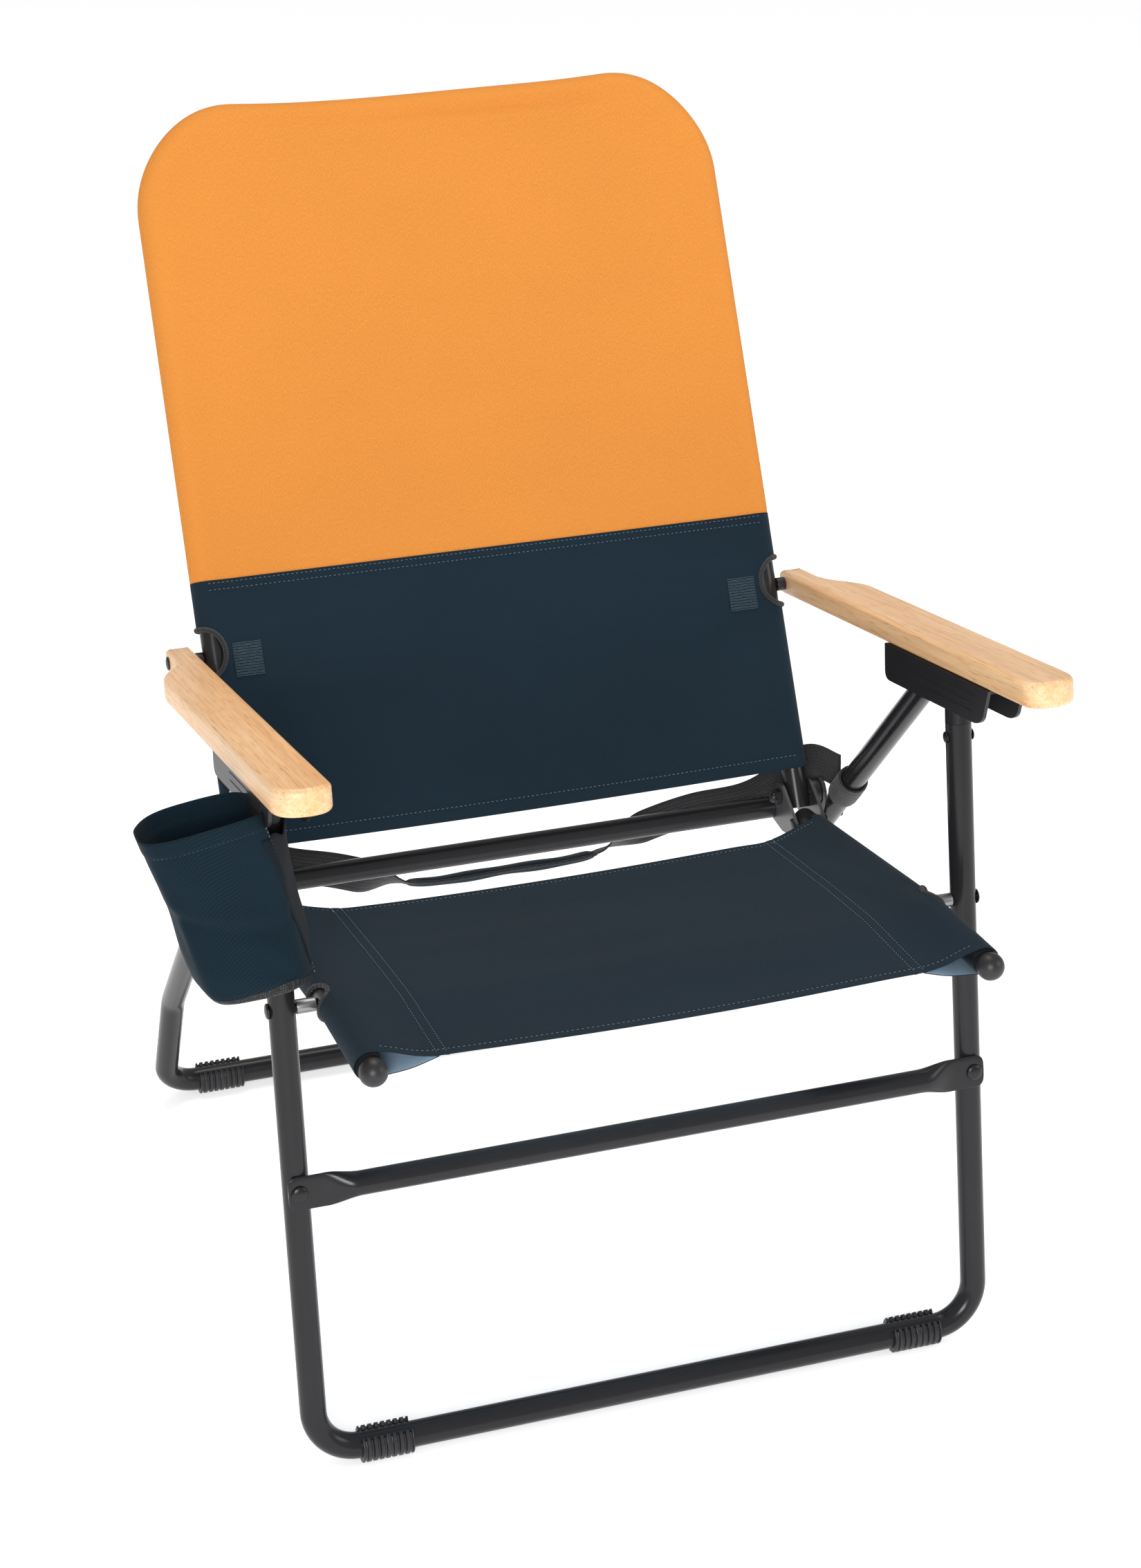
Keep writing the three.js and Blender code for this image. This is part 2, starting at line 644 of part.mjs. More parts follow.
function armSpacer(s) {
  const ring = barX(6.2, s * (BACK_X + TUBE_R + GAP), s * (ARM_INNER_X - GAP), ARM_PIVOT, 16);
  return cut(ring, barX(holeR, s * 265, s * 290, ARM_PIVOT));
}

function armPivotBolt(s) {
  const profile = rivetProfile(BACK_X - TUBE_R - GAP, ARM_NECK_X + GAP, rivetR, 6, 2.2);
  return turnedX(profile, s, ARM_PIVOT);
}

add("back_tube", backTube(), tubePaint, back);
add("back_panel_lower", backPanel(0, BACK_SEAM - GAP / 2), navyFabric, back);
add("back_panel_upper", backPanel(BACK_SEAM + GAP / 2, 720), orangeFabric, back);
for (const [name, s] of SIDES_OF_CHAIR) {
  add(`arm_spacer_${name}`, armSpacer(s), blackPlastic, back);
  add(`arm_pivot_bolt_${name}`, armPivotBolt(s), blackSteel, back);
}

// ---- armrests, in a frame at their pivots whose -Y runs forward along the wood ----
const arms = new THREE.Group();
const armPivot = new THREE.Vector2(...HINGE).add(
  new THREE.Vector2(Math.sin(RECLINE), Math.cos(RECLINE)).multiplyScalar(ARM_PIVOT_ALONG),
);
arms.position.set(0, armPivot.x, armPivot.y);
arms.rotation.x = -ARM_TILT;
chair.add(arms);

const EDGE = 3.5; // the wood's rounded edges
const SCREW_AHEAD = [256, 424]; // where the housing is screwed to the wood
const HOUSING_PLATE = 3;
const CHANNEL_HALF = 14;
const SCREW_R = 1.8;

function armOutline(s) {
  const outline = new THREE.Shape();
  const x = (value) => s * value;
  outline.moveTo(x(ARM_INNER_X), ARM_BEHIND);
  outline.lineTo(x(ARM_INNER_X), 16 - ARM_AHEAD);
  outline.bezierCurveTo(
    x(ARM_INNER_X + 1), 6 - ARM_AHEAD, x(ARM_INNER_X + 9), 1 - ARM_AHEAD, x(ARM_INNER_X + 18), -ARM_AHEAD,
  );
  outline.bezierCurveTo(
    x(ARM_OUTER_X - 12), -ARM_AHEAD, x(ARM_OUTER_X), 7 - ARM_AHEAD, x(ARM_OUTER_X), 26 - ARM_AHEAD,
  );
  outline.lineTo(x(ARM_OUTER_X), -108);
  outline.bezierCurveTo(x(ARM_OUTER_X), -72, x(ARM_NECK_X + 2), -66, x(ARM_NECK_X), -34);
  outline.lineTo(x(ARM_NECK_X), ARM_BEHIND);
  return outline;
}

function armrest(s) {
  const body = new THREE.ExtrudeGeometry(armOutline(s), {
    depth: 2 * (ARM_HALF - EDGE),
    bevelThickness: EDGE,
    bevelSize: EDGE,
    bevelOffset: -EDGE,
    bevelSegments: 3,
    curveSegments: 8,
  });
  body.translate(0, 0, EDGE - ARM_HALF);
  const side = new THREE.Shape();
  side.absarc(ARM_BEHIND - ARM_HALF - 2, 0, ARM_HALF + 2, -Math.PI / 2, Math.PI / 2);
  side.lineTo(-ARM_AHEAD - 5, ARM_HALF + 2);
  side.lineTo(-ARM_AHEAD - 5, -ARM_HALF - 2);
  const screwHoles = SCREW_AHEAD.map((ahead) =>
    new THREE.CylinderGeometry(SCREW_R + GAP, SCREW_R + GAP, 14, 10)
      .rotateX(Math.PI / 2)
      .translate(s * LEG_X, -ahead, -ARM_HALF + 5),
  );
  return cut(
    common(body, plateX(side, s * 270, s * 340)),
    barX(holeR, s * 270, s * 340, [0, 0]),
    ...screwHoles,
  );
}

function armHousing(s) {
  const top = -ARM_HALF - GAP;
  const low = top - 32.5;
  const cheek = new THREE.Shape();
  cheek.moveTo(-231, top);
  cheek.lineTo(-229, low + 8);
  cheek.quadraticCurveTo(-229, low, -238, low);
  cheek.lineTo(-404, low);
  cheek.quadraticCurveTo(-420, low, -426, low + 8);
  cheek.lineTo(-438, top);
  const outer = CHANNEL_HALF + HOUSING_PLATE;
  const cheeks = [-outer, CHANNEL_HALF].map((x) =>
    plateX(cheek, s * LEG_X + x, s * LEG_X + x + HOUSING_PLATE),
  );
  const roof = boxBetween(
    [s * LEG_X - CHANNEL_HALF - 1, -436, top - HOUSING_PLATE],
    [s * LEG_X + CHANNEL_HALF + 1, -232, top],
  );
  const ribs = [0, 1, 2].flatMap((i) =>
    [-1, 1].map((face) => {
      const x = s * LEG_X + face * (outer - 0.4);
      const z = low + 8.5 + 7 * i;
      const rear = i === 2 ? -242 : -292;
      return boxBetween([x - 0.9, -404 - 4 * i, z - 1.2], [x + 0.9, rear, z + 1.2]);
    }),
  );
  const holes = SCREW_AHEAD.map((ahead) =>
    new THREE.CylinderGeometry(SCREW_R + GAP, SCREW_R + GAP, 12, 10)
      .rotateX(Math.PI / 2)
      .translate(s * LEG_X, -ahead, top - 1),
  );
  return cut(join(...cheeks, roof, ...ribs), ...holes);
}

function housingScrew(s, ahead) {
  const seat = -ARM_HALF - 2 * GAP - HOUSING_PLATE;
  const profile = [
    [0, seat - 1.6],
    [2.6, seat - 1.6],
    [3.6, seat],
    [SCREW_R, seat],
    [SCREW_R, seat + 13],
    [0, seat + 14],
  ];
  const screw = new THREE.LatheGeometry(profile.map(([a, b]) => new THREE.Vector2(a, b)), 10);
  return screw.rotateX(Math.PI / 2).translate(s * LEG_X, -ahead, 0);
}

for (const [name, s] of SIDES_OF_CHAIR) {
  add(`armrest_${name}`, armrest(s), wood, arms);
  add(`arm_housing_${name}`, armHousing(s), blackPlastic, arms);
  add(`housing_screw_rear_${name}`, housingScrew(s, SCREW_AHEAD[0]), steel, arms);
  add(`housing_screw_front_${name}`, housingScrew(s, SCREW_AHEAD[1]), steel, arms);
}

// ---- cup pocket on the left front leg ----
const POCKET_BOTTOM = { centre: [-334, 38, 451], rx: 37, ry: 31 };
const POCKET_TOP = { centre: [-370, 79, 598], rx: 49.5, ry: 43 };
function bag(shrink, lowBy, highBy) {
  const body = new THREE.CylinderGeometry(1, 1, 1, 24, 2);
  body.rotateX(Math.PI / 2);
  const place = body.attributes.position;
  const height = POCKET_TOP.centre[2] - POCKET_BOTTOM.centre[2];
  for (let i = 0; i < place.count; i++) {
    const share = place.getZ(i) + 0.5;
    const t = share + (share > 0.99 ? highBy : 0) / height + (share < 0.01 ? -lowBy : 0) / height;
    const mix = (key, index) => {
      const low = index === undefined ? POCKET_BOTTOM[key] : POCKET_BOTTOM[key][index];
      const high = index === undefined ? POCKET_TOP[key] : POCKET_TOP[key][index];
      return THREE.MathUtils.lerp(low, high, t);
    };
    place.setXYZ(
      i,
      mix("centre", 0) + place.getX(i) * (mix("rx") - shrink),
      mix("centre", 1) + place.getY(i) * (mix("ry") - shrink),
      mix("centre", 2),
    );
  }
  return body;
}

function legSleeve(low, high, radius) {
  const path = [low, high].map((z) => [-LEG_X, frontY(z), z]);
  return pipe(path, radius);
}

// The bag is sewn to a sleeve on the leg, with a gore that closes the corner between them.
function cupPocket() {
  const sleeve = legSleeve(448, 528, SLEEVE_OUT);
  const gore = common(bag(0, 0, 0), boxBetween([-420, 0, 440], [-290, 130, 522]));
  const around = toGeometry(wasm.Manifold.hull([toSolid(gore), toSolid(sleeve)]));
  return cut(join(around, bag(0, 0, 0)), bag(2, -2, 20), legSleeve(430, 580, SLEEVE_IN));
}
add("cup_pocket", cupPocket(), navyFabric);

// ---- carry strap, looped round both rear legs behind the hinge ----
const STRAP_WIDE = 34;
const STRAP_THICK = 2;
const PAD_WIDE = 42;
const PAD_THICK = 8;
const PAD_FROM = -100; // X of the pad's ends
const PAD_TO = 76;
const strapRoute = [
  [-299, 341, 388],
  [-284, 372, 386],
  [-262, 390, 372],
  [-217, 392, 350],
  [-173, 396, 335],
  [PAD_FROM, 396, 310],
  [-12, 396, 308],
  [PAD_TO, 396, 311],
  [122, 396, 330],
  [172, 396, 341],
  [225, 392, 347],
  [262, 391, 363],
  [284, 373, 386],
  [299, 341, 388],
].map(([x, y, z]) => new THREE.Vector3(x, y, z));
const strapCurve = new THREE.CatmullRomCurve3(strapRoute, false, "centripetal");
const strapLast = strapRoute.length - 1;
const padShare = [5 / strapLast, 7 / strapLast]; // the pad's ends on the curve

// The strap stands on edge at the legs and lies nearly flat, by this angle, along its pad.
const STRAP_TURN = -1.1;
function strapTurn(share) {
  const [from, to] = padShare;
  const down = THREE.MathUtils.smoothstep(share, from - 0.1, from - 0.01);
  const up = THREE.MathUtils.smoothstep(share, to + 0.01, to + 0.09);
  return STRAP_TURN * down * (1 - up);
}

// A flat band along part of the strap's route.
function band(from, to, wide, thick, steps) {
  const box = new THREE.BoxGeometry(1, 1, 1, 1, 1, steps);
  const place = box.attributes.position;
  const point = new THREE.Vector3();
  const up = new THREE.Vector3(0, 0, 1);
  for (let i = 0; i < place.count; i++) {
    const share = THREE.MathUtils.lerp(from, to, place.getZ(i) + 0.5);
    const ahead = strapCurve.getTangent(share);
    const across = new THREE.Vector3(-ahead.y, ahead.x, 0).normalize();
    const turn = strapTurn(share);
    const out = place.getX(i) * thick;
    const along = place.getY(i) * wide;
    point.copy(strapCurve.getPoint(share));
    point.addScaledVector(across, out * Math.cos(turn) + along * Math.sin(turn));
    point.addScaledVector(up, along * Math.cos(turn) - out * Math.sin(turn));
    place.setXYZ(i, point.x, point.y, point.z);
  }
  return box;
}

function strapLoop(s, radius, more = 0) {
  const half = STRAP_WIDE / 2 + more;
  const ends = [-36 - half, -36 + half].map((d) => {
    const at = hingeFoot.clone().addScaledVector(legRun, d);
    return [s * LEG_X, at.x, at.y];
  });
  return pipe(ends, radius);
}

function strapWebbing() {
  const loops = SIDES_OF_CHAIR.map(([, s]) => strapLoop(s, SLEEVE_OUT + 0.6));
  const voids = SIDES_OF_CHAIR.map(([, s]) => strapLoop(s, SLEEVE_IN, 20));
  return cut(join(band(0, 1, STRAP_WIDE, STRAP_THICK, 39), ...loops), ...voids);
}

function strapPad() {
  const [from, to] = padShare;
  const sleeve = band(from, to, PAD_WIDE, PAD_THICK, 8);
  const slot = band(from - 0.04, to + 0.04, STRAP_WIDE + 4 * GAP, STRAP_THICK + 4 * GAP, 10);
  return cut(sleeve, slot);
}
add("strap_webbing", strapWebbing(), webbing);
add("strap_pad", strapPad(), navyFabric);

// The origin moves to the middle of the bounding box's bottom.
const bounds = new THREE.Box3().setFromObject(chair, true);
const middle = bounds.getCenter(new THREE.Vector3());
chair.position.set(-middle.x, -middle.y, -bounds.min.z);

export default chair;
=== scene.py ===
# Looks of the folding beach chair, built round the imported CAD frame.
# Shapes are given in millimetres, measured from the ground under the front rail, halfway between the
# legs; place() turns them into the row frame in metres.
import json
import math

import bmesh
import bpy
import numpy as np
from mathutils import Matrix, Vector


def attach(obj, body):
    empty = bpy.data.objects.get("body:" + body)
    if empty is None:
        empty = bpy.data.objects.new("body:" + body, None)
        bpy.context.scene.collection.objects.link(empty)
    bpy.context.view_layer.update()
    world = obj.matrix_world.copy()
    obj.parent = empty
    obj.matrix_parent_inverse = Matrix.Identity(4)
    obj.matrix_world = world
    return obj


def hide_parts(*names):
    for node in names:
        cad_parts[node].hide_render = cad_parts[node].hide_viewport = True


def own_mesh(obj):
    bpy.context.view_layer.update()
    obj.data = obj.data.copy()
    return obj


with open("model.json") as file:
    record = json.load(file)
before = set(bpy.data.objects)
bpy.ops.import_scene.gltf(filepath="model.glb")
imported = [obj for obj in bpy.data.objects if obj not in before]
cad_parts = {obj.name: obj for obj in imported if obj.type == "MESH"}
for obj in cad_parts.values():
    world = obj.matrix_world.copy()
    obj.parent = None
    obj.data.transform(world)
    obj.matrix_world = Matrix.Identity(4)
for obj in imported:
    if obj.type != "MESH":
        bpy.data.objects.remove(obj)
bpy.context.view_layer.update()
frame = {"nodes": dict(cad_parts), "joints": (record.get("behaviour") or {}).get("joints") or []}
joints = {j["name"]: j for j in frame["joints"]}

# ---- the chair's own numbers, as in the CAD ----
TUBE_R = 11.1
TUBE_WALL = 1.2
RAIL_Z = 14.0
LEG_X = 298.0
SEAT_X = 259.0
RAIL_INNER_X = 244.2
BACK_X = 261.0
FRONT_LEAN = math.atan(0.19)
FRONT_TOP_Z = 550.0
FRONT_CORNER_R = 38.0
CROSS_Z = 246.0
REAR_RAIL_Y = 595.0
REAR_CORNER_R = 33.0
REAR_KINK = (531.0, 146.0)
REAR_TOP = (170.5, 551.2)
HINGE = (353.2, 365.2)
SEAT_PIVOT = (72.5, 397.0)
RAIL_BEND = (50.0, 401.1)
RAIL_REAR = (329.0, 350.4)
RAIL_FRONT = (-53.0, 410.1)
SEAT_CROSS = (371.0, 345.5)
RECLINE = math.atan(0.55)
BACK_TOP = 674.0
BACK_CORNER_R = 84.0
BACK_HEM = 24.0
BACK_SEAM = 263.0
ARM_ALONG = 195.4
ARM_TILT = math.atan(0.2169)
ARM_INNER_X, ARM_OUTER_X, ARM_NECK_X = 281.0, 327.0, 303.0
ARM_HALF = 11.0
ARM_AHEAD, ARM_BEHIND = 517.0, 13.0

hinge = joints["back_hinge"]["pos_m"]
SHIFT = np.array([hinge[0] * 1000, hinge[1] * 1000 - HINGE[0], 0.0])
SIDES = (("left", -1), ("right", 1))


def place(points):
    return (np.asarray(points, float) + SHIFT) / 1000.0


def front_y(z):
    return (z - RAIL_Z) * math.tan(FRONT_LEAN)


def rail_z(y):
    rear = (RAIL_REAR[1] - RAIL_BEND[1]) / (RAIL_REAR[0] - RAIL_BEND[0])
    ahead = (RAIL_BEND[1] - RAIL_FRONT[1]) / (RAIL_BEND[0] - RAIL_FRONT[0])
    y = np.asarray(y, float)
    t = (y - RAIL_BEND[0]) / 4.0
    soft = 4.0 * np.log1p(np.exp(-np.abs(t))) + np.maximum(y - RAIL_BEND[0], 0)
    return RAIL_BEND[1] + (y - RAIL_BEND[0]) * ahead + soft * (rear - ahead)


def on_back(x, n, a):
    """Points of the back: x across, n out of the back's plane to the rear, a up along it from the hinge."""
    c, s = math.cos(RECLINE), math.sin(RECLINE)
    return np.stack([x, HINGE[0] + n * c + a * s, HINGE[1] - n * s + a * c], -1)


ARM_PIVOT = (
    HINGE[0] + ARM_ALONG * math.sin(RECLINE),
    HINGE[1] + ARM_ALONG * math.cos(RECLINE),
)


def on_arm(x, d, n):
    """Points of an armrest: x across, d forwards from its pivot along the wood, n up out of it."""
    c, s = math.cos(ARM_TILT), math.sin(ARM_TILT)
    return np.stack([x, ARM_PIVOT[0] - d * c + n * s, ARM_PIVOT[1] + d * s + n * c], -1)


# ---- camera ----
cam = bpy.data.objects.new("camera", bpy.data.cameras.new("camera"))
bpy.context.scene.collection.objects.link(cam)
cam.data.sensor_width = 36
cam.data.lens = 74.107
cam.data.shift_y = -0.12
azimuth, elevation, roll = (math.radians(v) for v in (-18.7685, 23.6264, 0.4183))
flat = math.cos(elevation)
back_way = Vector((math.sin(azimuth) * flat, -math.cos(azimuth) * flat, math.sin(elevation)))
level = Vector((math.cos(azimuth), math.sin(azimuth), 0))
above = back_way.cross(level)
right_way = level * math.cos(roll) + above * math.sin(roll)
up_way = back_way.cross(right_way)
turn = Matrix((right_way, up_way, back_way)).transposed().to_4x4()
cam.matrix_world = Matrix.Translation(Vector(place((-798.57, -2109.29, 1732.97)))) @ turn
bpy.context.scene.camera = cam


# ---- materials ----
def srgb(r, g, b):
    def one(v):
        v /= 255
        return v / 12.92 if v <= 0.04045 else ((v + 0.055) / 1.055) ** 2.4

    return (one(r), one(g), one(b), 1.0)


class Look:
    """One material and its node tree."""

    def __init__(self, name, **sockets):
        self.material = bpy.data.materials.new(name)
        self.material.use_nodes = True
        self.nodes = self.material.node_tree.nodes
        self.links = self.material.node_tree.links
        self.shader = self.nodes["Principled BSDF"]
        for key, value in sockets.items():
            self.shader.inputs[key.replace("_", " ")].default_value = value
        self.bump_from = None

    def node(self, kind, inputs=(), **settings):
        made = self.nodes.new("ShaderNode" + kind)
        for key, value in settings.items():
            setattr(made, key, value)
        for key, value in dict(inputs).items():
            if hasattr(value, "links"):
                self.links.new(value, made.inputs[key])
            else:
                made.inputs[key].default_value = value
        return made

    def coords(self, space, scale=(1, 1, 1), rotation=(0, 0, 0)):
        source = self.node("TexCoord").outputs[space]
        mapped = self.node("Mapping", {"Vector": source, "Scale": scale, "Rotation": rotation})
        return mapped.outputs["Vector"]

    def noise(self, where, scale, detail=2.0, roughness=0.5):
        inputs = {"Vector": where, "Scale": scale, "Detail": detail, "Roughness": roughness}
        return self.node("TexNoise", inputs).outputs["Fac"]

    def wave(self, where, scale, direction, **inputs):
        inputs = {"Vector": where, "Scale": scale, **inputs}
        return self.node("TexWave", inputs, bands_direction=direction).outputs["Fac"]

    def ramp(self, value, low, high, dark, bright):
        made = self.node("ValToRGB", {"Fac": value})
        made.color_ramp.elements[0].position = low
        made.color_ramp.elements[1].position = high
        made.color_ramp.elements[0].color = dark
        made.color_ramp.elements[1].color = bright
        return made.outputs["Color"]

    def tinted(self, color, tint):
        inputs = {"Fac": 1.0, "Color1": color, "Color2": tint}
        return self.node("MixRGB", inputs, blend_type="MULTIPLY").outputs["Color"]

    def math(self, how, a, b=0.0):
        made = self.node("Math", {0: a, 1: b}, operation=how)
        return made.outputs["Value"]

    def color(self, value):
        self.links.new(value, self.shader.inputs["Base Color"])

    def rough(self, value):
        self.links.new(value, self.shader.inputs["Roughness"])

    def bump(self, height, strength, distance):
        inputs = {"Height": height, "Strength": strength, "Distance": distance}
        if self.bump_from is not None:
            inputs["Normal"] = self.bump_from
        self.bump_from = self.node("Bump", inputs).outputs["Normal"]
        self.links.new(self.bump_from, self.shader.inputs["Normal"])


def shade(color, k):
    return tuple(min(1.0, c * k) for c in color[:3]) + (1.0,)


def coated(name, color, roughness, metallic, grain=1400.0, strength=0.08, shine=0.5):
    """Paint, plating or moulded plastic: uneven gloss and a fine speck."""
    look = Look(name, Roughness=roughness, Metallic=metallic, Specular_IOR_Level=shine)
    where = look.coords("Object")
    cloudy = look.noise(where, 14.0, 3.0)
    look.color(look.ramp(cloudy, 0.3, 0.75, shade(color, 0.9), shade(color, 1.1)))
    look.rough(look.math("ADD", look.math("MULTIPLY", cloudy, 0.10), roughness - 0.05))
    look.bump(look.noise(where, grain, 2.0), strength, 0.0002)
    return look.material


tube_paint = coated("tube_paint", srgb(38, 38, 40), 0.22, 0.1, shine=0.3)
plate_paint = coated("plate_paint", srgb(84, 84, 86), 0.32, 0.5)
black_steel = coated("black_steel", srgb(30, 30, 32), 0.30, 0.3)
zinc = coated("zinc", srgb(150, 151, 153), 0.33, 0.9)
black_plastic = coated("black_plastic", srgb(30, 30, 33), 0.42, 0.0, 900.0, 0.14)
plug_plastic = coated("plug_plastic", srgb(18, 20, 26), 0.34, 0.0, 900.0, 0.1, 0.35)


BANDS = 0.314  # a wave texture of this scale repeats once a metre


def twill(name, color, thread, lean, worn=0.05, sheen=0.04, contrast=0.1):
    """Woven cloth: a diagonal twill rib, the single yarns across it, and soft uneven dye. The rib's valleys are
    coloured darker as painted shade and its crests paler as painted highlight.
    """
    look = Look(name, Roughness=0.82, Sheen_Weight=sheen, Sheen_Roughness=0.5, Specular_IOR_Level=0.12)
    tilted = look.coords("UV", rotation=(0, 0, lean))
    rib = look.wave(tilted, BANDS / thread, "X", **{"Distortion": 0.35, "Detail Scale": 3.0})
    yarn = look.noise(look.coords("UV", scale=(1500, 420, 1)), 1.0, 2.0)
    cross_yarn = look.noise(look.coords("UV", scale=(380, 1700, 1)), 1.0, 2.0)
    cloudy = look.noise(look.coords("UV"), 5.0, 4.0, 0.6)
    base = look.ramp(cloudy, 0.3, 0.72, shade(color, 1 - worn), shade(color, 1 + worn))
    # Painted shade darkens the twill rib's valleys, and a painted highlight lightens its crests.
    valley_painted_shade, crest_painted_highlight = ((1 + contrast * k,) * 3 + (1,) for k in (-1.6, 0.8))
    rib_painted_light = look.ramp(rib, 0.1, 0.9, valley_painted_shade, crest_painted_highlight)
    yarn_tint = look.ramp(yarn, 0.3, 0.7, (0.9, 0.9, 0.9, 1), (1.09, 1.09, 1.09, 1))
    look.color(look.tinted(look.tinted(base, rib_painted_light), yarn_tint))
    look.bump(rib, 0.3, 0.0003)
    look.bump(look.math("ADD", yarn, cross_yarn), 0.22, 0.0003)
    return look.material


NAVY = srgb(26, 43, 55)
ORANGE = srgb(227, 145, 64)
navy_cloth = twill("navy_cloth", NAVY, 0.0011, 0.6, 0.08)
orange_cloth = twill("orange_cloth", ORANGE, 0.0010, 0.6, 0.025, 0.02, 0.03)
pocket_cloth = twill("pocket_cloth", srgb(16, 35, 46), 0.0019, 0.75, 0.1, 0.04, 0.17)
# The leg panel is the pocket's cloth coloured darker and greyer: painted shade.
wrap_cloth_painted_shade = twill("wrap_cloth_painted_shade", srgb(22, 30, 38), 0.0019, 0.75, 0.08)
lining_cloth = twill("lining_cloth", srgb(172, 196, 214), 0.0011, 0.6, 0.03, 0.05)


def webbing_look(name, color):
    """Coarse woven tape, with some fuzz. Its low weave is coloured darker as painted shade and its raised weave
    paler as painted highlight.
    """
    look = Look(name, Roughness=0.8, Sheen_Weight=0.2)
    where = look.coords("UV")
    weft = look.wave(where, BANDS / 0.0016, "X")
    warp = look.wave(where, BANDS / 0.0034, "Y")
    fuzz = look.noise(look.coords("Object"), 700.0, 2.0)
    weave = look.math("ADD", weft, look.math("MULTIPLY", warp, 0.7))
    # Painted light: the weave's low parts darkened as painted shade, its raised parts lightened as painted
    # highlight.
    weave_painted_light = look.math("MULTIPLY", weave, 0.6)
    look.color(look.ramp(weave_painted_light, 0.1, 0.9, shade(color, 0.5), shade(color, 1.5)))
    look.bump(weave, 0.6, 0.0006)
    look.bump(fuzz, 0.3, 0.0004)
    return look.material


webbing = webbing_look("webbing", srgb(34, 34, 37))
binding = webbing_look("binding", srgb(44, 42, 44))


def thread_look():
    look = Look("thread", Roughness=0.6)
    twist = look.wave(look.coords("Object"), 500.0, "DIAGONAL")
    look.color(look.ramp(twist, 0.2, 0.8, srgb(62, 80, 92), srgb(122, 140, 152)))
    look.bump(twist, 0.4, 0.0002)
    return look.material


thread = thread_look()


def dark_thread_look(name, dark, pale):
    look = Look(name, Roughness=0.65)
    fuzz = look.noise(look.coords("Object"), 900.0, 2.0)
    look.color(look.ramp(fuzz, 0.35, 0.65, dark, pale))
    look.bump(fuzz, 0.4, 0.0002)
    return look.material


navy_thread = dark_thread_look("navy_thread", srgb(32, 50, 62), srgb(62, 82, 94))
rubbed = dark_thread_look("rubbed", srgb(38, 57, 69), srgb(66, 86, 98))


def mesh_look():
    """Black netting, its holes painted as dark pits between thick yarns: painted shade stands in for the open
    holes.
    """
    look = Look("net", Roughness=0.6)
    inputs = {"Vector": look.coords("Object"), "Scale": 480.0, "Randomness": 0.35}
    cells = look.node("TexVoronoi", inputs, feature="F1").outputs["Distance"]
    # Painted shade: the holes between the yarns are coloured near black.
    look.color(look.ramp(cells, 0.25, 0.55, srgb(62, 60, 62), srgb(8, 8, 10)))
    look.bump(look.math("SUBTRACT", 1.0, cells), 1.0, 0.0012)
    return look.material


net = mesh_look()


def wood_look():
    """Pale wood: the grain, its fine streaks and dark pores all run along the arm."""
    look = Look("beech", Roughness=0.42, Coat_Weight=0.12, Coat_Roughness=0.35)
    turned = look.coords("Object", rotation=(ARM_TILT, 0, 0))
    along = lambda *scale: look.node("Mapping", {"Vector": turned, "Scale": scale}).outputs["Vector"]
    broad = look.noise(along(50, 2.5, 70), 1.0, 3.0, 0.55)
    fine = look.noise(along(330, 7, 330), 1.0, 3.0, 0.6)
    pores = look.noise(along(900, 34, 900), 1.0, 2.0, 0.5)
    blotch = look.noise(along(26, 5, 26), 1.0, 2.0, 0.5)
    base = look.ramp(broad, 0.25, 0.78, srgb(242, 194, 141), srgb(253, 220, 177))
    streak = look.ramp(fine, 0.32, 0.68, (0.86, 0.81, 0.75, 1), (1.06, 1.05, 1.04, 1))
    pore = look.ramp(pores, 0.33, 0.43, (0.8, 0.7, 0.59, 1), (1, 1, 1, 1))
    warm = look.ramp(blotch, 0.3, 0.7, (1.0, 0.965, 0.92, 1), (1.0, 1.0, 1.0, 1))
    for layer in (streak, pore, warm):
        base = look.tinted(base, layer)
    look.color(base)
    look.bump(pores, 0.12, 0.0002)
    look.rough(look.math("ADD", look.math("MULTIPLY", fine, 0.18), 0.32))
    return look.material


beech = wood_look()


# ---- mesh building ----
def add(name, points, faces, material, body, uv=None, replaces=(), angle=None):
    """A piece from points in millimetres. uv is one pair per point, or per corner of each face."""
    mesh = bpy.data.meshes.new(name)
    mesh.from_pydata(place(points).tolist(), [], faces)
    mesh.validate(clean_customdata=False)
    mesh.materials.append(material)
    if uv is not None:
        layer = mesh.uv_layers.new(name="UVMap")
        corner = np.zeros(len(mesh.loops), np.int32)
        mesh.loops.foreach_get("vertex_index", corner)
        uv = np.asarray(uv, float)
        values = uv if len(uv) == len(corner) else uv[corner]
        layer.data.foreach_set("uv", (values / 1000.0).astype(np.float32).ravel())
    obj = bpy.data.objects.new(name, mesh)
    bpy.context.scene.collection.objects.link(obj)
    mesh.shade_smooth()
    if angle:
        mesh.set_sharp_from_angle(angle=math.radians(angle))
    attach(obj, body)
    if replaces:
        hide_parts(*replaces)
    return obj


def grid(points, closed_u=False, closed_v=False, uv=None, flip=False):
    """Faces over an array of nu by nv points, and a uv pair for each face corner."""
    nu, nv = points.shape[:2]
    faces, corners = [], []
    last_u = nu if closed_u else nu - 1
    last_v = nv if closed_v else nv - 1
    for i in range(last_u):
        for j in range(last_v):
            quad = [(i, j), (i + 1, j), (i + 1, j + 1), (i, j + 1)]
            if flip:
                quad.reverse()
            faces.append([(a % nu) * nv + b % nv for a, b in quad])
            if uv is not None:
                corners.extend(uv[min(a, uv.shape[0] - 1), min(b, uv.shape[1] - 1)] for a, b in quad)
    return points.reshape(-1, 3), faces, (np.array(corners) if uv is not None else None)


def unit(v):
    return v / np.linalg.norm(v, axis=-1, keepdims=True)


def circle(count):
    return np.linspace(0, 2 * math.pi, count, endpoint=False)


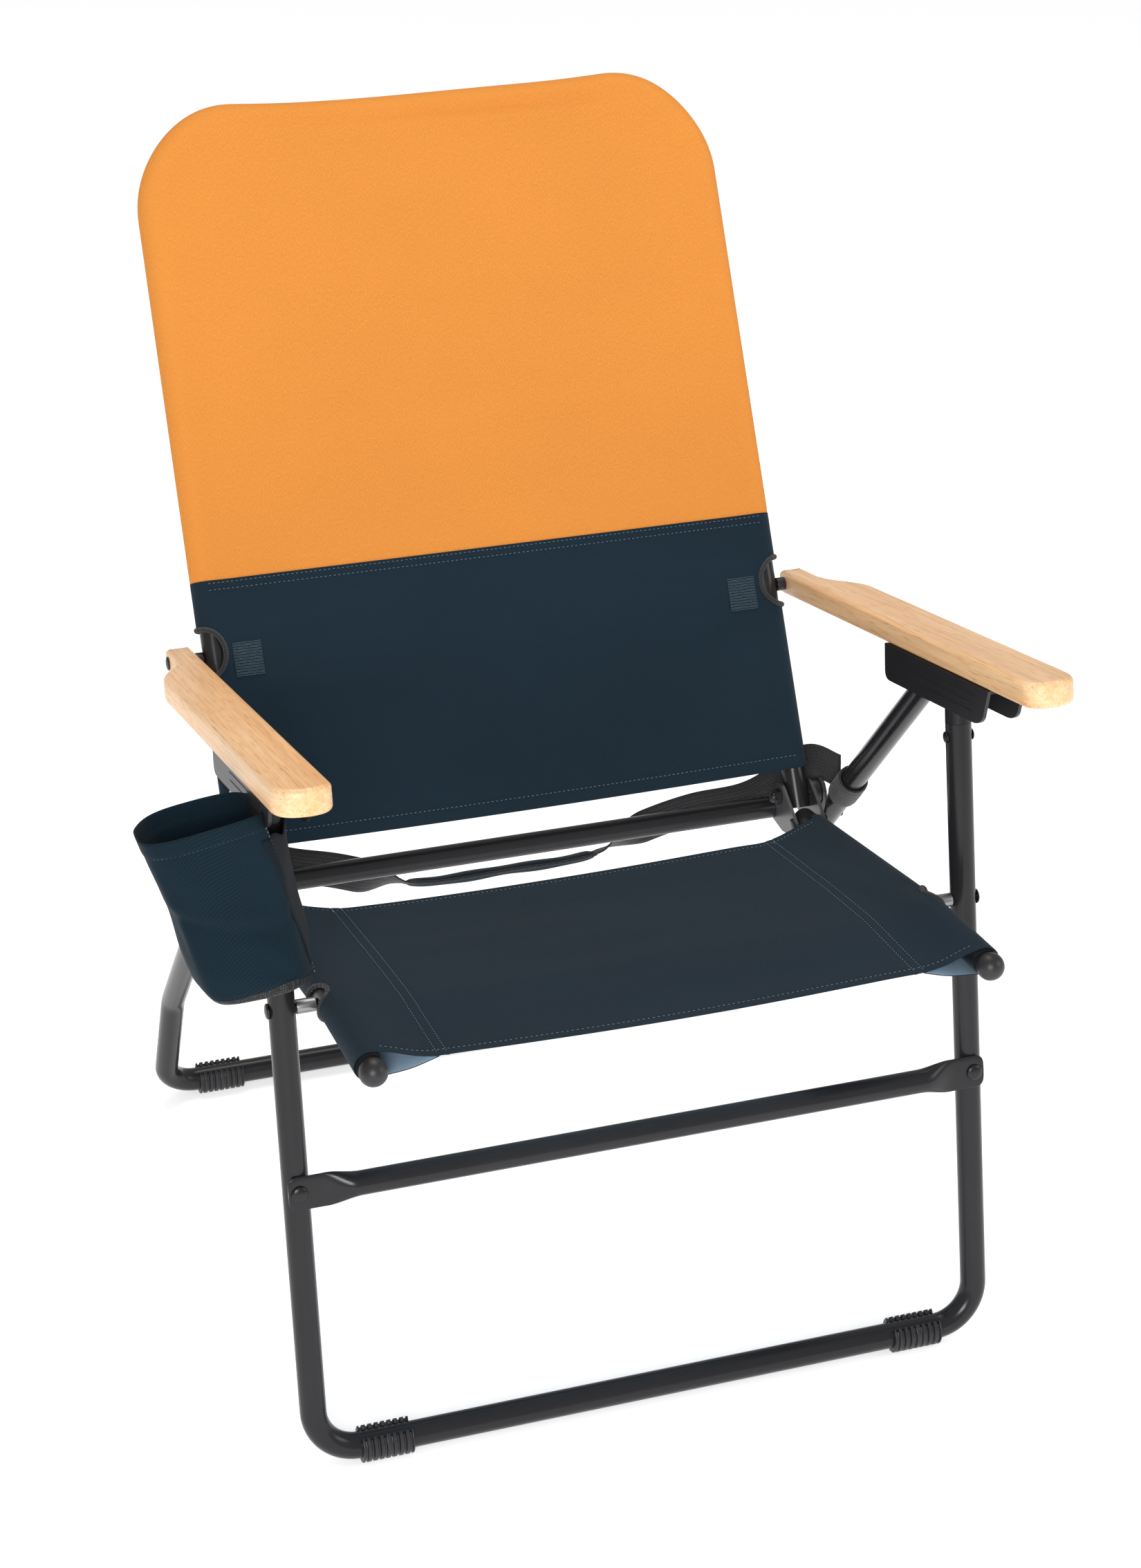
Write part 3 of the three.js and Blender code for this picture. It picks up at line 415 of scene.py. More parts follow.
def compass(angles):
    """Level directions, an angle counted from +X towards +Y."""
    return np.stack([np.cos(angles), np.sin(angles), np.zeros_like(angles)], -1)


def sample(at, run, line):
    """The line at some lengths along it, run being the length at each of its points."""
    return np.stack([np.interp(at, run, line[:, k]) for k in range(line.shape[1])], -1)


def arc_lengths(points, closed=False):
    steps = np.linalg.norm(np.diff(points, axis=0), axis=1)
    total = np.concatenate([[0], np.cumsum(steps)])
    if closed:
        total = np.append(total, total[-1] + np.linalg.norm(points[0] - points[-1]))
    return total


STRAIGHT_STEP = 24.0


def bent(corners):
    """Stations and tangents on a path of straight runs with round bends; a corner is (x, y, z, radius)."""
    points = [np.array(c[:3], float) for c in corners]
    stations, tangents = [], []

    def run(a, b, t):
        count = max(1, int(np.linalg.norm(b - a) / STRAIGHT_STEP))
        for k in range(count):
            stations.append(a + (b - a) * k / count)
            tangents.append(t)

    here = points[0]
    for i in range(1, len(points) - 1):
        before, after = unit(points[i] - points[i - 1]), unit(points[i + 1] - points[i])
        turned = math.acos(np.clip(before @ after, -1, 1))
        radius = corners[i][3]
        start = points[i] - before * radius * math.tan(turned / 2)
        centre = points[i] + unit(after - before) * radius / math.cos(turned / 2)
        run(here, start, before)
        count = max(3, int(math.degrees(turned) / 5))
        spin = unit(np.cross(before, after))
        for k in range(count):
            angle = turned * k / count
            turn_by = np.array(Matrix.Rotation(angle, 3, Vector(spin)))
            stations.append(centre + turn_by @ (start - centre))
            tangents.append(turn_by @ before)
        here = points[i] + after * radius * math.tan(turned / 2)
    end_tangent = unit(points[-1] - points[-2])
    run(here, points[-1], end_tangent)
    stations.append(points[-1])
    tangents.append(end_tangent)
    return np.array(stations), np.array(tangents)


def frames_along(tangents):
    """Two directions across the path at each station, carried along without twist."""
    tangents = unit(tangents)
    normal = np.array((0, 0, 1.0))
    if abs(normal @ tangents[0]) > 0.95:
        normal = np.array((0, 1.0, 0))
    normals = []
    for t in tangents:
        normal = unit(normal - (normal @ t) * t)
        normals.append(normal)
    normals = np.array(normals)
    return normals, np.cross(tangents, normals)


def ring_ways(normal, side, angle):
    return np.cos(angle)[None, :, None] * normal[:, None] + np.sin(angle)[None, :, None] * side[:, None]


def tube(corners, radius, sides=36):
    """An open tube with real wall thickness at its ends."""
    stations, tangents = bent(corners)
    ring = ring_ways(*frames_along(tangents), circle(sides))
    bore, lip, deep = radius - TUBE_WALL, radius - 0.3, 20.0
    at_end = lambda k, r: (stations[k] + ring[k] * r)[None]
    first_in = (stations[0] + tangents[0] * deep + ring[0] * bore)[None]
    last_in = (stations[-1] - tangents[-1] * deep + ring[-1] * bore)[None]
    rows = np.concatenate(
        [first_in, at_end(0, bore), at_end(0, lip), stations[:, None] + ring * radius,
         at_end(-1, lip), at_end(-1, bore), last_in]
    )
    uv = np.stack(np.meshgrid(arc_lengths(rows[:, 0]), angle_ends(sides) * radius, indexing="ij"), -1)
    return grid(rows, closed_v=True, uv=uv, flip=True)


def angle_ends(sides):
    return np.linspace(0, 2 * math.pi, sides + 1)


def lathe(profile, centre, axis, sides):
    """A turned solid. The profile is pairs of distance along the axis and radius; a ring's ends where it starts."""
    ring_shaped = tuple(profile[0]) == tuple(profile[-1])
    axis = unit(np.array(axis, float))
    other = np.array((0, 0, 1.0)) if abs(axis[2]) < 0.9 else np.array((0, 1.0, 0))
    u = unit(np.cross(axis, other))
    profile = np.array(profile, float)
    ring = ring_ways(u[None], np.cross(axis, u)[None], circle(sides))[0]
    rows = centre + profile[:, 0][:, None, None] * axis + profile[:, 1][:, None, None] * ring[None]
    points, faces, _ = grid(rows, closed_u=ring_shaped, closed_v=True)
    return points, faces


def merged(parts):
    points, faces, base = [], [], 0
    for p, f in parts:
        points.append(np.asarray(p))
        faces.extend([[i + base for i in face] for face in f])
        base += len(p)
    return np.concatenate(points), faces


def rounded(profile, radius=0.5, steps=3):
    """The profile with each inner corner rounded off a little."""
    out = [profile[0]]
    for a, b, c in zip(profile, profile[1:], profile[2:]):
        a, b, c = (np.array(p, float) for p in (a, b, c))
        back, on = a - b, c - b
        reach = min(radius, np.linalg.norm(back) / 2.2, np.linalg.norm(on) / 2.2)
        start = b + back / max(1e-9, np.linalg.norm(back)) * reach
        end = b + on / max(1e-9, np.linalg.norm(on)) * reach
        for k in range(steps + 1):
            t = k / steps
            out.append(tuple((1 - t) ** 2 * start + 2 * t * (1 - t) * b + t * t * end))
    out.append(profile[-1])
    return out


def dome(at, radius, tall, way, steps=7):
    """Profile of a round head from its rim at `at` out to its tip, way is +1 or -1."""
    return [
        (at + way * tall * math.sin(k * math.pi / 2 / steps), radius * math.cos(k * math.pi / 2 / steps))
        for k in range(steps + 1)
    ]


def rivet(start, end, shaft, head, tall):
    """A through rivet: a domed head with a thin flange at each end."""
    near = dome(start - 0.6, head, tall - 0.6, -1)[::-1]
    far = dome(end + 0.6, head, tall - 0.6, 1)
    return near + [(start, head), (start, shaft), (end, shaft), (end, head)] + far


def bevelled(node, material, width):
    """A CAD node kept as it is, with its edges eased and a finish of its own."""
    obj = frame["nodes"][node]
    obj.data.materials.clear()
    obj.data.materials.append(material)
    ease = obj.modifiers.new("ease", "BEVEL")
    ease.width = width / 1000
    ease.segments = 2
    ease.limit_method = "ANGLE"
    ease.angle_limit = math.radians(35)
    obj.data.shade_smooth()
    obj.data.set_sharp_from_angle(angle=math.radians(50))
    return obj


STITCH_THICK, STITCH_LIFT = 0.36, 0.2


def stitches(name, path, normal, body, material=thread, pitch=4.2, length=2.0):
    """Separate stitches laid end to end along a line on cloth, each a small rounded bead of thread."""
    run = arc_lengths(path)
    count = max(2, int(run[-1] / pitch))
    at = (np.arange(count) + 0.5) * run[-1] / count
    mid = sample(at, run, path)
    up = unit(sample(at, run, np.broadcast_to(normal, path.shape)))
    way = unit(sample(at + length / 2, run, path) - sample(at - length / 2, run, path))
    side = np.cross(way, up)
    rings = ((-0.5, 0.35, 0.0), (-0.34, 0.95, 0.75), (0.0, 1.1, 1.0), (0.34, 0.95, 0.75), (0.5, 0.35, 0.0))
    parts = []
    for i in range(count):
        points = []
        for along, size, high in rings:
            centre = mid[i] + way[i] * along * length + up[i] * (STITCH_LIFT * high)
            for k in range(5):
                angle = 2 * math.pi * k / 5
                out = side[i] * math.cos(angle) + up[i] * math.sin(angle)
                points.append(centre + out * STITCH_THICK * size)
        faces = [
            [r * 5 + k, r * 5 + (k + 1) % 5, (r + 1) * 5 + (k + 1) % 5, (r + 1) * 5 + k]
            for r in range(4)
            for k in range(5)
        ]
        faces += [[4, 3, 2, 1, 0], [20, 21, 22, 23, 24]]
        parts.append((np.array(points), faces))
    points, faces = merged(parts)
    return add(name, points, faces, material, body, None)


def cord_edge(path, radius, closed=True, sides=10, ridge=0.0, pitch=2.2):
    """A soft bound edge: a thin round sweep along a line, ridged like ribbed tape."""
    total = arc_lengths(path, closed)
    count = max(24, int(total[-1] / 0.7))
    loop = np.vstack([path, path[:1]]) if closed else path
    at = np.linspace(0, total[-1], count, endpoint=not closed)
    line = sample(at, total, loop)
    if closed:
        tangent = np.roll(line, -1, 0) - np.roll(line, 1, 0)
    else:
        tangent = np.gradient(line, axis=0)
    r = radius + ridge * np.sin(2 * math.pi * at / pitch)
    rows = line[:, None] + ring_ways(*frames_along(tangent), circle(sides)) * r[:, None, None]
    uv = np.stack(np.meshgrid(np.append(at, total[-1]), angle_ends(sides) * radius, indexing="ij"), -1)
    return grid(rows, closed_u=closed, closed_v=True, uv=uv, flip=True)


def smoothstep(a, b, x):
    t = np.clip((np.asarray(x, float) - a) / (b - a), 0, 1)
    return t * t * (3 - 2 * t)


def bump(x, centre, width):
    return np.exp(-(((np.asarray(x, float) - centre) / width) ** 2))


# ---- tubes ----
def steel_tube(name, corners, body, replaced, radius=TUBE_R):
    points, faces, uv = tube(corners, radius)
    return add(name, points, faces, tube_paint, body, uv, replaced, 40)


front_top = front_y(FRONT_TOP_Z)
steel_tube(
    "front_leg_tube",
    [
        (-LEG_X, front_top, FRONT_TOP_Z),
        (-LEG_X, 0, RAIL_Z, FRONT_CORNER_R),
        (LEG_X, 0, RAIL_Z, FRONT_CORNER_R),
        (LEG_X, front_top, FRONT_TOP_Z),
    ],
    "front_legs",
    ["front_leg_frame"],
)
steel_tube(
    "rear_leg_tube",
    [
        (-LEG_X, *REAR_TOP),
        (-LEG_X, *REAR_KINK, 60),
        (-LEG_X, REAR_RAIL_Y, RAIL_Z, REAR_CORNER_R),
        (LEG_X, REAR_RAIL_Y, RAIL_Z, REAR_CORNER_R),
        (LEG_X, *REAR_KINK, 60),
        (LEG_X, *REAR_TOP),
    ],
    "rear_legs",
    ["rear_leg_frame"],
)
steel_tube(
    "back_frame_tube",
    [
        tuple(on_back(np.array(x), np.array(0.0), np.array(a))) + more
        for x, a, more in (
            (-BACK_X, -13.0, ()),
            (-BACK_X, BACK_TOP, (BACK_CORNER_R,)),
            (BACK_X, BACK_TOP, (BACK_CORNER_R,)),
            (BACK_X, -13.0, ()),
        )
    ],
    "back",
    ["back_tube"],
)
for name, s in SIDES:
    steel_tube(
        f"seat_rail_tube_{name}",
        [(s * SEAT_X, *RAIL_REAR), (s * SEAT_X, *RAIL_BEND, 250), (s * SEAT_X, *RAIL_FRONT)],
        "seat",
        [f"seat_rail_{name}"],
    )
steel_tube(
    "seat_rear_tube",
    [(-RAIL_INNER_X, *SEAT_CROSS), (RAIL_INNER_X, *SEAT_CROSS)],
    "seat",
    ["seat_cross_tube"],
    radius=10.1,
)


def front_cross():
    """The front cross tube: round in the middle, pressed flat where it is riveted to the legs."""
    reach, radius, flat_half, tab_half = LEG_X + 9, 10.2, 1.3, 14.5
    half = np.concatenate(
        [np.linspace(0, 246, 12), np.linspace(249, 282, 23), np.linspace(285, reach - 7, 5),
         reach - 7 * (1 - np.sin(np.linspace(0.2, 1.57, 8)))]
    )
    xs = np.concatenate([-half[::-1], half[1:]])
    flat = smoothstep(250, 281, np.abs(xs))
    thick = radius + (flat_half - radius) * flat
    tall = radius + (tab_half - radius) * smoothstep(246, 276, np.abs(xs))
    past = np.clip((np.abs(xs) - (reach - 7)) / 7, 0, 1)
    tall = tall - 7 * (1 - np.sqrt(1 - past * past))
    angle = circle(40)
    front = np.array((0, -math.cos(FRONT_LEAN), math.sin(FRONT_LEAN)))
    along = np.array((0, math.sin(FRONT_LEAN), math.cos(FRONT_LEAN)))
    offset = TUBE_R + 0.3 + flat_half
    centre = np.array((0, front_y(CROSS_Z), CROSS_Z)) + front * offset
    power = 1 - 0.45 * flat[:, None]
    out = np.sign(np.cos(angle)) * np.abs(np.cos(angle)) ** power * thick[:, None]
    up = np.sin(angle)[None] * tall[:, None]
    rows = centre + xs[:, None, None] * np.array((1, 0, 0)) + out[..., None] * front + up[..., None] * along
    middle = rows.mean(1, keepdims=True)
    closing = middle + (rows - middle) * 0.01
    rows = np.concatenate([closing[:1], rows, closing[-1:]])
    return grid(rows, closed_v=True)[:2]


points, faces = front_cross()
add("front_cross_bar", points, faces, tube_paint, "front_legs", None, ["front_cross_tube"], 50)


# ---- rivets, bolts, plugs and pads ----
def turned(name, node, profile, at, axis, finish, body, sides=32):
    points, faces = lathe(profile, np.array(at, float), axis, sides)
    material, slot = finish
    return add(name, points, faces, material, body, None, [node], 45)


PLUG_RIVET_Z, YOKE_RIVET_Y = 538, 319
PLUG_R, BALL_R = 9.6, 11.6
lean_back = (0, math.cos(FRONT_LEAN), -math.sin(FRONT_LEAN))
leg_up = (0, math.sin(FRONT_LEAN), math.cos(FRONT_LEAN))
leg_run = unit(np.array(REAR_KINK) - np.array(REAR_TOP))
leg_normal = np.array((-leg_run[1], leg_run[0]))
hinge_foot = np.array(HINGE) - leg_normal * ((np.array(HINGE) - np.array(REAR_TOP)) @ leg_normal)
bracket_rivet_at = hinge_foot + leg_run * 26
rail_forward = (0, -math.cos(math.atan(0.0874)), math.sin(math.atan(0.0874)))


def plug(nose):
    """A cap pushed into a tube's end, its nose this far out of it."""
    r = TUBE_R - 0.3
    collar = [(-22, 0), (-22, PLUG_R), (0.3, PLUG_R), (0.3, r + 0.3)]
    cap = [(nose + r * 0.62 * math.sin(k * math.pi / 16), r * math.cos(k * math.pi / 16)) for k in range(9)]
    return rounded(collar, 0.4) + cap


def sleeve(start, end, bore, radius, ease):
    """A short tube's profile, its edges eased."""
    return rounded([(start, bore), (start, radius), (end, radius), (end, bore), (start, bore)], ease)


BLACK, ZINC = (black_steel, "black_steel"), (zinc, "steel")
PLASTIC, PLUG = (black_plastic, "black_plastic"), (plug_plastic, "black_plastic")
bolt = rounded([(238.5, 0), (238.5, 3.8), (286.9, 3.8), (286.9, 5.6)], 0.3) + dome(287.0, 5.6, 1.4, 1)
ball_angles = np.linspace(-0.85, math.pi / 2, 22)
ball = [(0.3 + BALL_R * (math.sin(a) + math.sin(0.85)), BALL_R * math.cos(a)) for a in ball_angles]
rail_ball = [(-16, 0), (-16, PLUG_R), (0.2, PLUG_R)] + ball
for name, s in SIDES:
    out = (s, 0, 0)
    cross_at = (s * LEG_X, front_y(CROSS_Z), CROSS_Z)
    plug_at = (s * LEG_X, front_y(PLUG_RIVET_Z), PLUG_RIVET_Z)
    leg_top, rear_top = (s * LEG_X, front_top, FRONT_TOP_Z), (s * LEG_X, *REAR_TOP)
    yoke_at = (0, YOKE_RIVET_Y, float(rail_z(YOKE_RIVET_Y)))
    seat_at, arm_at, hinge_at = (0, *SEAT_PIVOT), (0, *ARM_PIVOT), (0, *HINGE)
    for piece, node, *rest in (
        ("cross_rivet", "front_cross_rivet", rivet(-14.3, 11.4, 3, 7, 3), cross_at, lean_back, BLACK, "front_legs"),
        ("plug_rivet", "front_plug_rivet", rivet(-11.4, 11.4, 2, 5, 1.7), plug_at, out, BLACK, "front_legs"),
        ("leg_top_plug", "front_leg_plug", plug(26), leg_top, leg_up, PLUG, "front_legs"),
        ("rear_leg_top_plug", "rear_leg_plug", plug(8), rear_top, (0, *-leg_run), PLUG, "rear_legs"),
        ("leg_bracket_rivet", "bracket_rivet", rivet(282.7, 309.4, 3, 6, 2), (0, *bracket_rivet_at), out, BLACK,
         "rear_legs"),
        ("rail_yoke_rivet", "yoke_rivet", rivet(RAIL_INNER_X, 275.8, 3, 6, 2), yoke_at, out, BLACK, "seat"),
        ("seat_rivet", "seat_pivot_rivet", rivet(247.6, 309.4, 3, 6.5, 2.6), seat_at, out, BLACK, "seat"),
        ("seat_spacer", "seat_pivot_spacer", sleeve(270.4, 286.6, 3.3, 6, 0.6), seat_at, out, ZINC, "seat"),
        ("arm_bolt", "arm_pivot_bolt", rivet(249.6, 303.3, 3, 6, 2.2), arm_at, out, BLACK, "back"),
        ("arm_spacer_ring", "arm_spacer", sleeve(272.4, 280.7, 3.3, 6.2, 0.6), arm_at, out, PLASTIC, "back"),
        ("hinge_bolt_turned", "hinge_bolt", bolt, hinge_at, out, BLACK, "seat"),
        ("hinge_disc_turned", "hinge_disc", sleeve(275.8, 282.7, 4.1, 11.6, 1.2), hinge_at, out, PLASTIC, "seat"),
        ("rail_end_ball", "seat_end_cap", rail_ball, (s * SEAT_X, *RAIL_FRONT), rail_forward, PLASTIC, "seat", 44),
    ):
        turned(f"{piece}_{name}", f"{node}_{name}", *rest)


def foot_pad(x, y):
    """A ribbed rubber sleeve clipped round a ground rail, open on top, with a flat sole."""
    half, r_in, outside = 22.0, 11.25, 40
    xs = np.linspace(-half, half, 111)
    wave = 0.5 - 0.5 * np.cos(2 * math.pi * (xs + half) / 5.5)
    groove = smoothstep(0.55, 0.85, wave) * (np.abs(xs) < half - 1.5)
    end = np.sqrt(np.clip(1 - (np.clip(np.abs(xs) - (half - 1), 0, 1)) ** 2, 0, 1))
    rows = []
    for k, at in enumerate(xs):
        r_out = 14.2 + 1.0 * end[k] - 1.5 * groove[k]
        open_by = math.radians(36 + 9 * groove[k])
        outer = np.linspace(open_by, 2 * math.pi - open_by, outside)
        ring = [(r_out * math.sin(a), max(r_out * math.cos(a), -RAIL_Z)) for a in outer]
        ring += [(r_in * math.sin(a), r_in * math.cos(a)) for a in outer[::-1][::3]]
        rows.append([(x + at, y + p, RAIL_Z + q) for p, q in ring])
    rows = np.array(rows)
    points, faces, _ = grid(rows, closed_v=True)
    count = rows.shape[1]
    inside = count - outside
    for row, turned_round in ((0, True), (len(rows) - 1, False)):
        base = row * count
        for k in range(inside - 1):
            a = [base + count - 1 - k, base + count - 2 - k]
            near = [base + min(outside - 1, 3 * k + j) for j in range(4)]
            face = a[::-1] + near
            faces.append(face if turned_round else face[::-1])
    return points, faces


for where, y, reach, body in (("front", 0, 239, "front_legs"), ("rear", REAR_RAIL_Y, 243, "rear_legs")):
    for name, s in SIDES:
        points, faces = foot_pad(s * reach, y)
        add(
            f"{where}_ribbed_pad_{name}", points, faces, black_plastic, body,
            None, [f"{where}_foot_pad_{name}"], 35,
        )


def crown_nut(s):
    face, at = RAIL_INNER_X, np.array((0, *HINGE))
    flats = [(face - 5.5, 0), (face - 5.5, 6.9), (face - 5.0, 7.4), (face - 0.4, 7.4), (face, 6.9), (face, 0)]
    cap = dome(face - 5.4, 5.4, 5.6, -1)[::-1] + [(face - 5.0, 5.4), (face - 5.0, 0)]
    return merged([lathe(flats, at, (s, 0, 0), 6), lathe(cap, at, (s, 0, 0), 28)])


for name, s in SIDES:
    points, faces = crown_nut(s)
    add(f"crown_nut_{name}", points, faces, black_steel, "seat", None, [f"hinge_nut_{name}"], 35)
    for node, finish, width in (
        (f"seat_yoke_{name}", plate_paint, 0.8),
        (f"rear_leg_bracket_{name}", plate_paint, 0.6),
        (f"arm_housing_{name}", black_plastic, 0.8),
        (f"housing_screw_rear_{name}", zinc, 0.3),
        (f"housing_screw_front_{name}", zinc, 0.3),
    ):
        bevelled(node, finish, width)


# ---- armrests ----
def bezier(a, b, c, d, steps):
    t = np.linspace(0, 1, steps, endpoint=False)[:, None]
    a, b, c, d = (np.array(p, float) for p in (a, b, c, d))
    return (1 - t) ** 3 * a + 3 * (1 - t) ** 2 * t * b + 3 * (1 - t) * t * t * c + t**3 * d


def straight(a, b, steps):
    t = np.linspace(0, 1, steps, endpoint=False)[:, None]
    return np.array(a, float) * (1 - t) + np.array(b, float) * t


def arm_outline():
    """The wood seen from above as (x, d) pairs, d forwards from the pivot."""
    i, o, n, a, b = ARM_INNER_X, ARM_OUTER_X, ARM_NECK_X, ARM_AHEAD, ARM_BEHIND
    return np.vstack(
        [
            straight((i, -b + 3), (i, a - 16), 40),
            bezier((i, a - 16), (i + 1, a - 6), (i + 9, a - 1), (i + 18, a), 16),
            bezier((i + 18, a), (o - 12, a), (o, a - 7), (o, a - 26), 20),
            straight((o, a - 26), (o, 108), 40),
            bezier((o, 108), (o, 72), (n + 2, 66), (n, 34), 24),
            straight((n, 34), (n, -b + 3), 6),
            bezier((n, -b + 3), (n, -b + 1), (n - 1, -b), (n - 3, -b), 5),
            straight((n - 3, -b), (i + 3, -b), 4),
            bezier((i + 3, -b), (i + 1, -b), (i, -b + 1), (i, -b + 3), 5),
        ]
    )


def armrest(s):
    outline = arm_outline()
    ahead = unit(np.roll(outline, -1, 0) - np.roll(outline, 1, 0))
    inward = np.stack([ahead[:, 1], -ahead[:, 0]], -1)
    edge = 4.6
    rows = []
    for angle in np.radians(np.linspace(-90, 90, 19)):
        inset = edge * (1 - math.cos(angle))
        height = math.copysign(ARM_HALF - edge, angle) + edge * math.sin(angle) if angle else 0.0
        ring = outline + inward * inset
        limit = -math.sqrt(max(0.0, 13.0**2 - height**2))
        ring[:, 1] = np.maximum(ring[:, 1], limit)
        rows.append((ring, height))
    top_inset = outline + inward * (edge + 0.7)
    top_inset[:, 1] = np.maximum(top_inset[:, 1], -6.0)
    rows = [(top_inset, -ARM_HALF)] + rows + [(top_inset, ARM_HALF)]
    stack = np.array([on_arm(s * ring[:, 0], ring[:, 1], np.full(len(ring), h)) for ring, h in rows])
    points, faces, _ = grid(stack, closed_v=True, flip=s > 0)
    count = len(outline)
    low = list(range(count))
    high = [(len(rows) - 1) * count + k for k in range(count)]
    faces.append(low if s > 0 else low[::-1])
    faces.append(high[::-1] if s > 0 else high)
    return points, faces


for name, s in SIDES:
    points, faces = armrest(s)
    add(f"wooden_armrest_{name}", points, faces, beech, f"arm_{name}", None, [f"armrest_{name}"], 60)


# ---- back cloth: a sock of two colours drawn over the back tube ----
SOCK_R = 13.4
SOCK_HALF = BACK_X + SOCK_R
SOCK_TOP = BACK_TOP + SOCK_R
CORNER_AT = (BACK_X - BACK_CORNER_R, BACK_TOP - BACK_CORNER_R)
CORNER_OUT = BACK_CORNER_R + SOCK_R


def sock_top(x):
    """How far the top edge stands over the bar: held up at the corners, lower between them."""
    x = np.asarray(x, float)
    return 3.2 * bump(x, -205, 55) + 4.2 * bump(x, 212, 60) - 2.2 * bump(x, -60, 110) + 0.6


def over_tube(d, hollow):
    """Round the tube at the outline, then down behind it, and deeper by hollow in the middle."""
    round_it = np.sqrt(np.clip(SOCK_R**2 - (SOCK_R - np.clip(d, 0, SOCK_R)) ** 2, 0, None))
    return round_it - (3.4 * smoothstep(SOCK_R - 2, SOCK_R + 26, d) + hollow * smoothstep(40, 200, d))


def sock_front(x, a, d):
    """How far the front layer stands in front of the tube's plane, d inwards from the outline."""
    inside = smoothstep(16, 70, d)
    below_top = SOCK_TOP - a
    waves = 0.55 * np.sin(a / 31.0 + 0.9 * np.sin(x / 170.0) + 0.8) + 0.35 * np.sin(a / 13.0 - x / 210.0)
    waves += 0.5 * np.sin(a / 57.0 + x / 95.0)
    fold = 3.0 * bump(below_top, 31 + 0.02 * x, 6.5) * (0.35 + 0.8 * bump(x, 70, 95) + 0.4 * bump(x, -150, 70))
    hollow = 3.6 * bump(below_top, 22, 8) * (0.5 + 0.6 * bump(x, 60, 110))
    pulls = 0.9 * bump(np.hypot(x - 190, a - 600), 55, 16) + 0.8 * bump(np.hypot(x + 190, a - 600), 60, 14)
    waves += 1.5 * bump(a - 0.12 * np.abs(x), 141, 7) * smoothstep(60, 190, np.abs(x))
    waves += 1.1 * bump(a + 0.1 * np.abs(x), 236, 9) * smoothstep(20, 160, np.abs(x))
    waves += 0.9 * bump(a - 0.05 * x, 380, 12) + 0.8 * bump(a + 0.04 * x, 510, 14)
    return over_tube(d, 1.6) + inside * waves + (fold - hollow + pulls) * smoothstep(9, 24, d)


def sock_rear(x, a, d):
    waves = 0.5 * np.sin(a / 27.0 + x / 150.0) + 0.4 * np.sin(a / 61.0 - x / 80.0)
    return over_tube(d, 1.2) + smoothstep(16, 70, d) * waves


def sock_depth(x, a):
    """Distance inwards from the sock's outline, and the unit way inwards."""
    side_x, top_a = np.abs(x) - CORNER_AT[0], a - CORNER_AT[1]
    in_corner = (side_x > 0) & (top_a > 0)
    reach = np.hypot(side_x, top_a)
    d_side, d_top = SOCK_HALF - np.abs(x), SOCK_TOP - a
    use_side = d_side <= d_top
    d = np.where(in_corner, CORNER_OUT - reach, np.where(use_side, d_side, d_top))
    way_x = np.where(in_corner, -np.sign(x) * side_x / np.maximum(reach, 1e-6), np.where(use_side, -np.sign(x), 0))
    way_a = np.where(in_corner, -top_a / np.maximum(reach, 1e-6), np.where(use_side, 0, -1))
    return np.clip(d, 0, None), way_x, way_a


def sock_uv(x, a):
    d, way_x, way_a = sock_depth(x, a)
    rolled = np.clip(d, 0, SOCK_R)
    extra = SOCK_R * np.arccos(np.clip((SOCK_R - rolled) / SOCK_R, -1, 1)) - rolled
    out = SOCK_R * (math.pi / 2 - 1) - extra
    return np.stack([x - way_x * out, a - way_a * out], -1)


def joined(name, sheets, material, body, replaces):
    """Several grids as one cloth: their meeting edges are merged into one."""
    points, faces, corners, base = [], [], [], 0
    for p, f, uv in sheets:
        points.append(p)
        faces.extend([[i + base for i in face] for face in f])
        corners.append(uv)
        base += len(p)
    obj = add(name, np.concatenate(points), faces, material, body, np.concatenate(corners), replaces)
    work = bmesh.new()
    work.from_mesh(obj.data)
    bmesh.ops.remove_doubles(work, verts=work.verts, dist=0.00002)
    work.to_mesh(obj.data)
    work.free()
    obj.data.shade_smooth()
    return obj


# Depths of the rings that run along the outline; the first ones wrap round the tube.
RINGS = np.concatenate(
    [SOCK_R * (1 - np.cos(np.linspace(0, math.pi / 2, 9))), SOCK_R + np.array([1.2, 3, 5.5, 9, 14, 20, 27])]
)


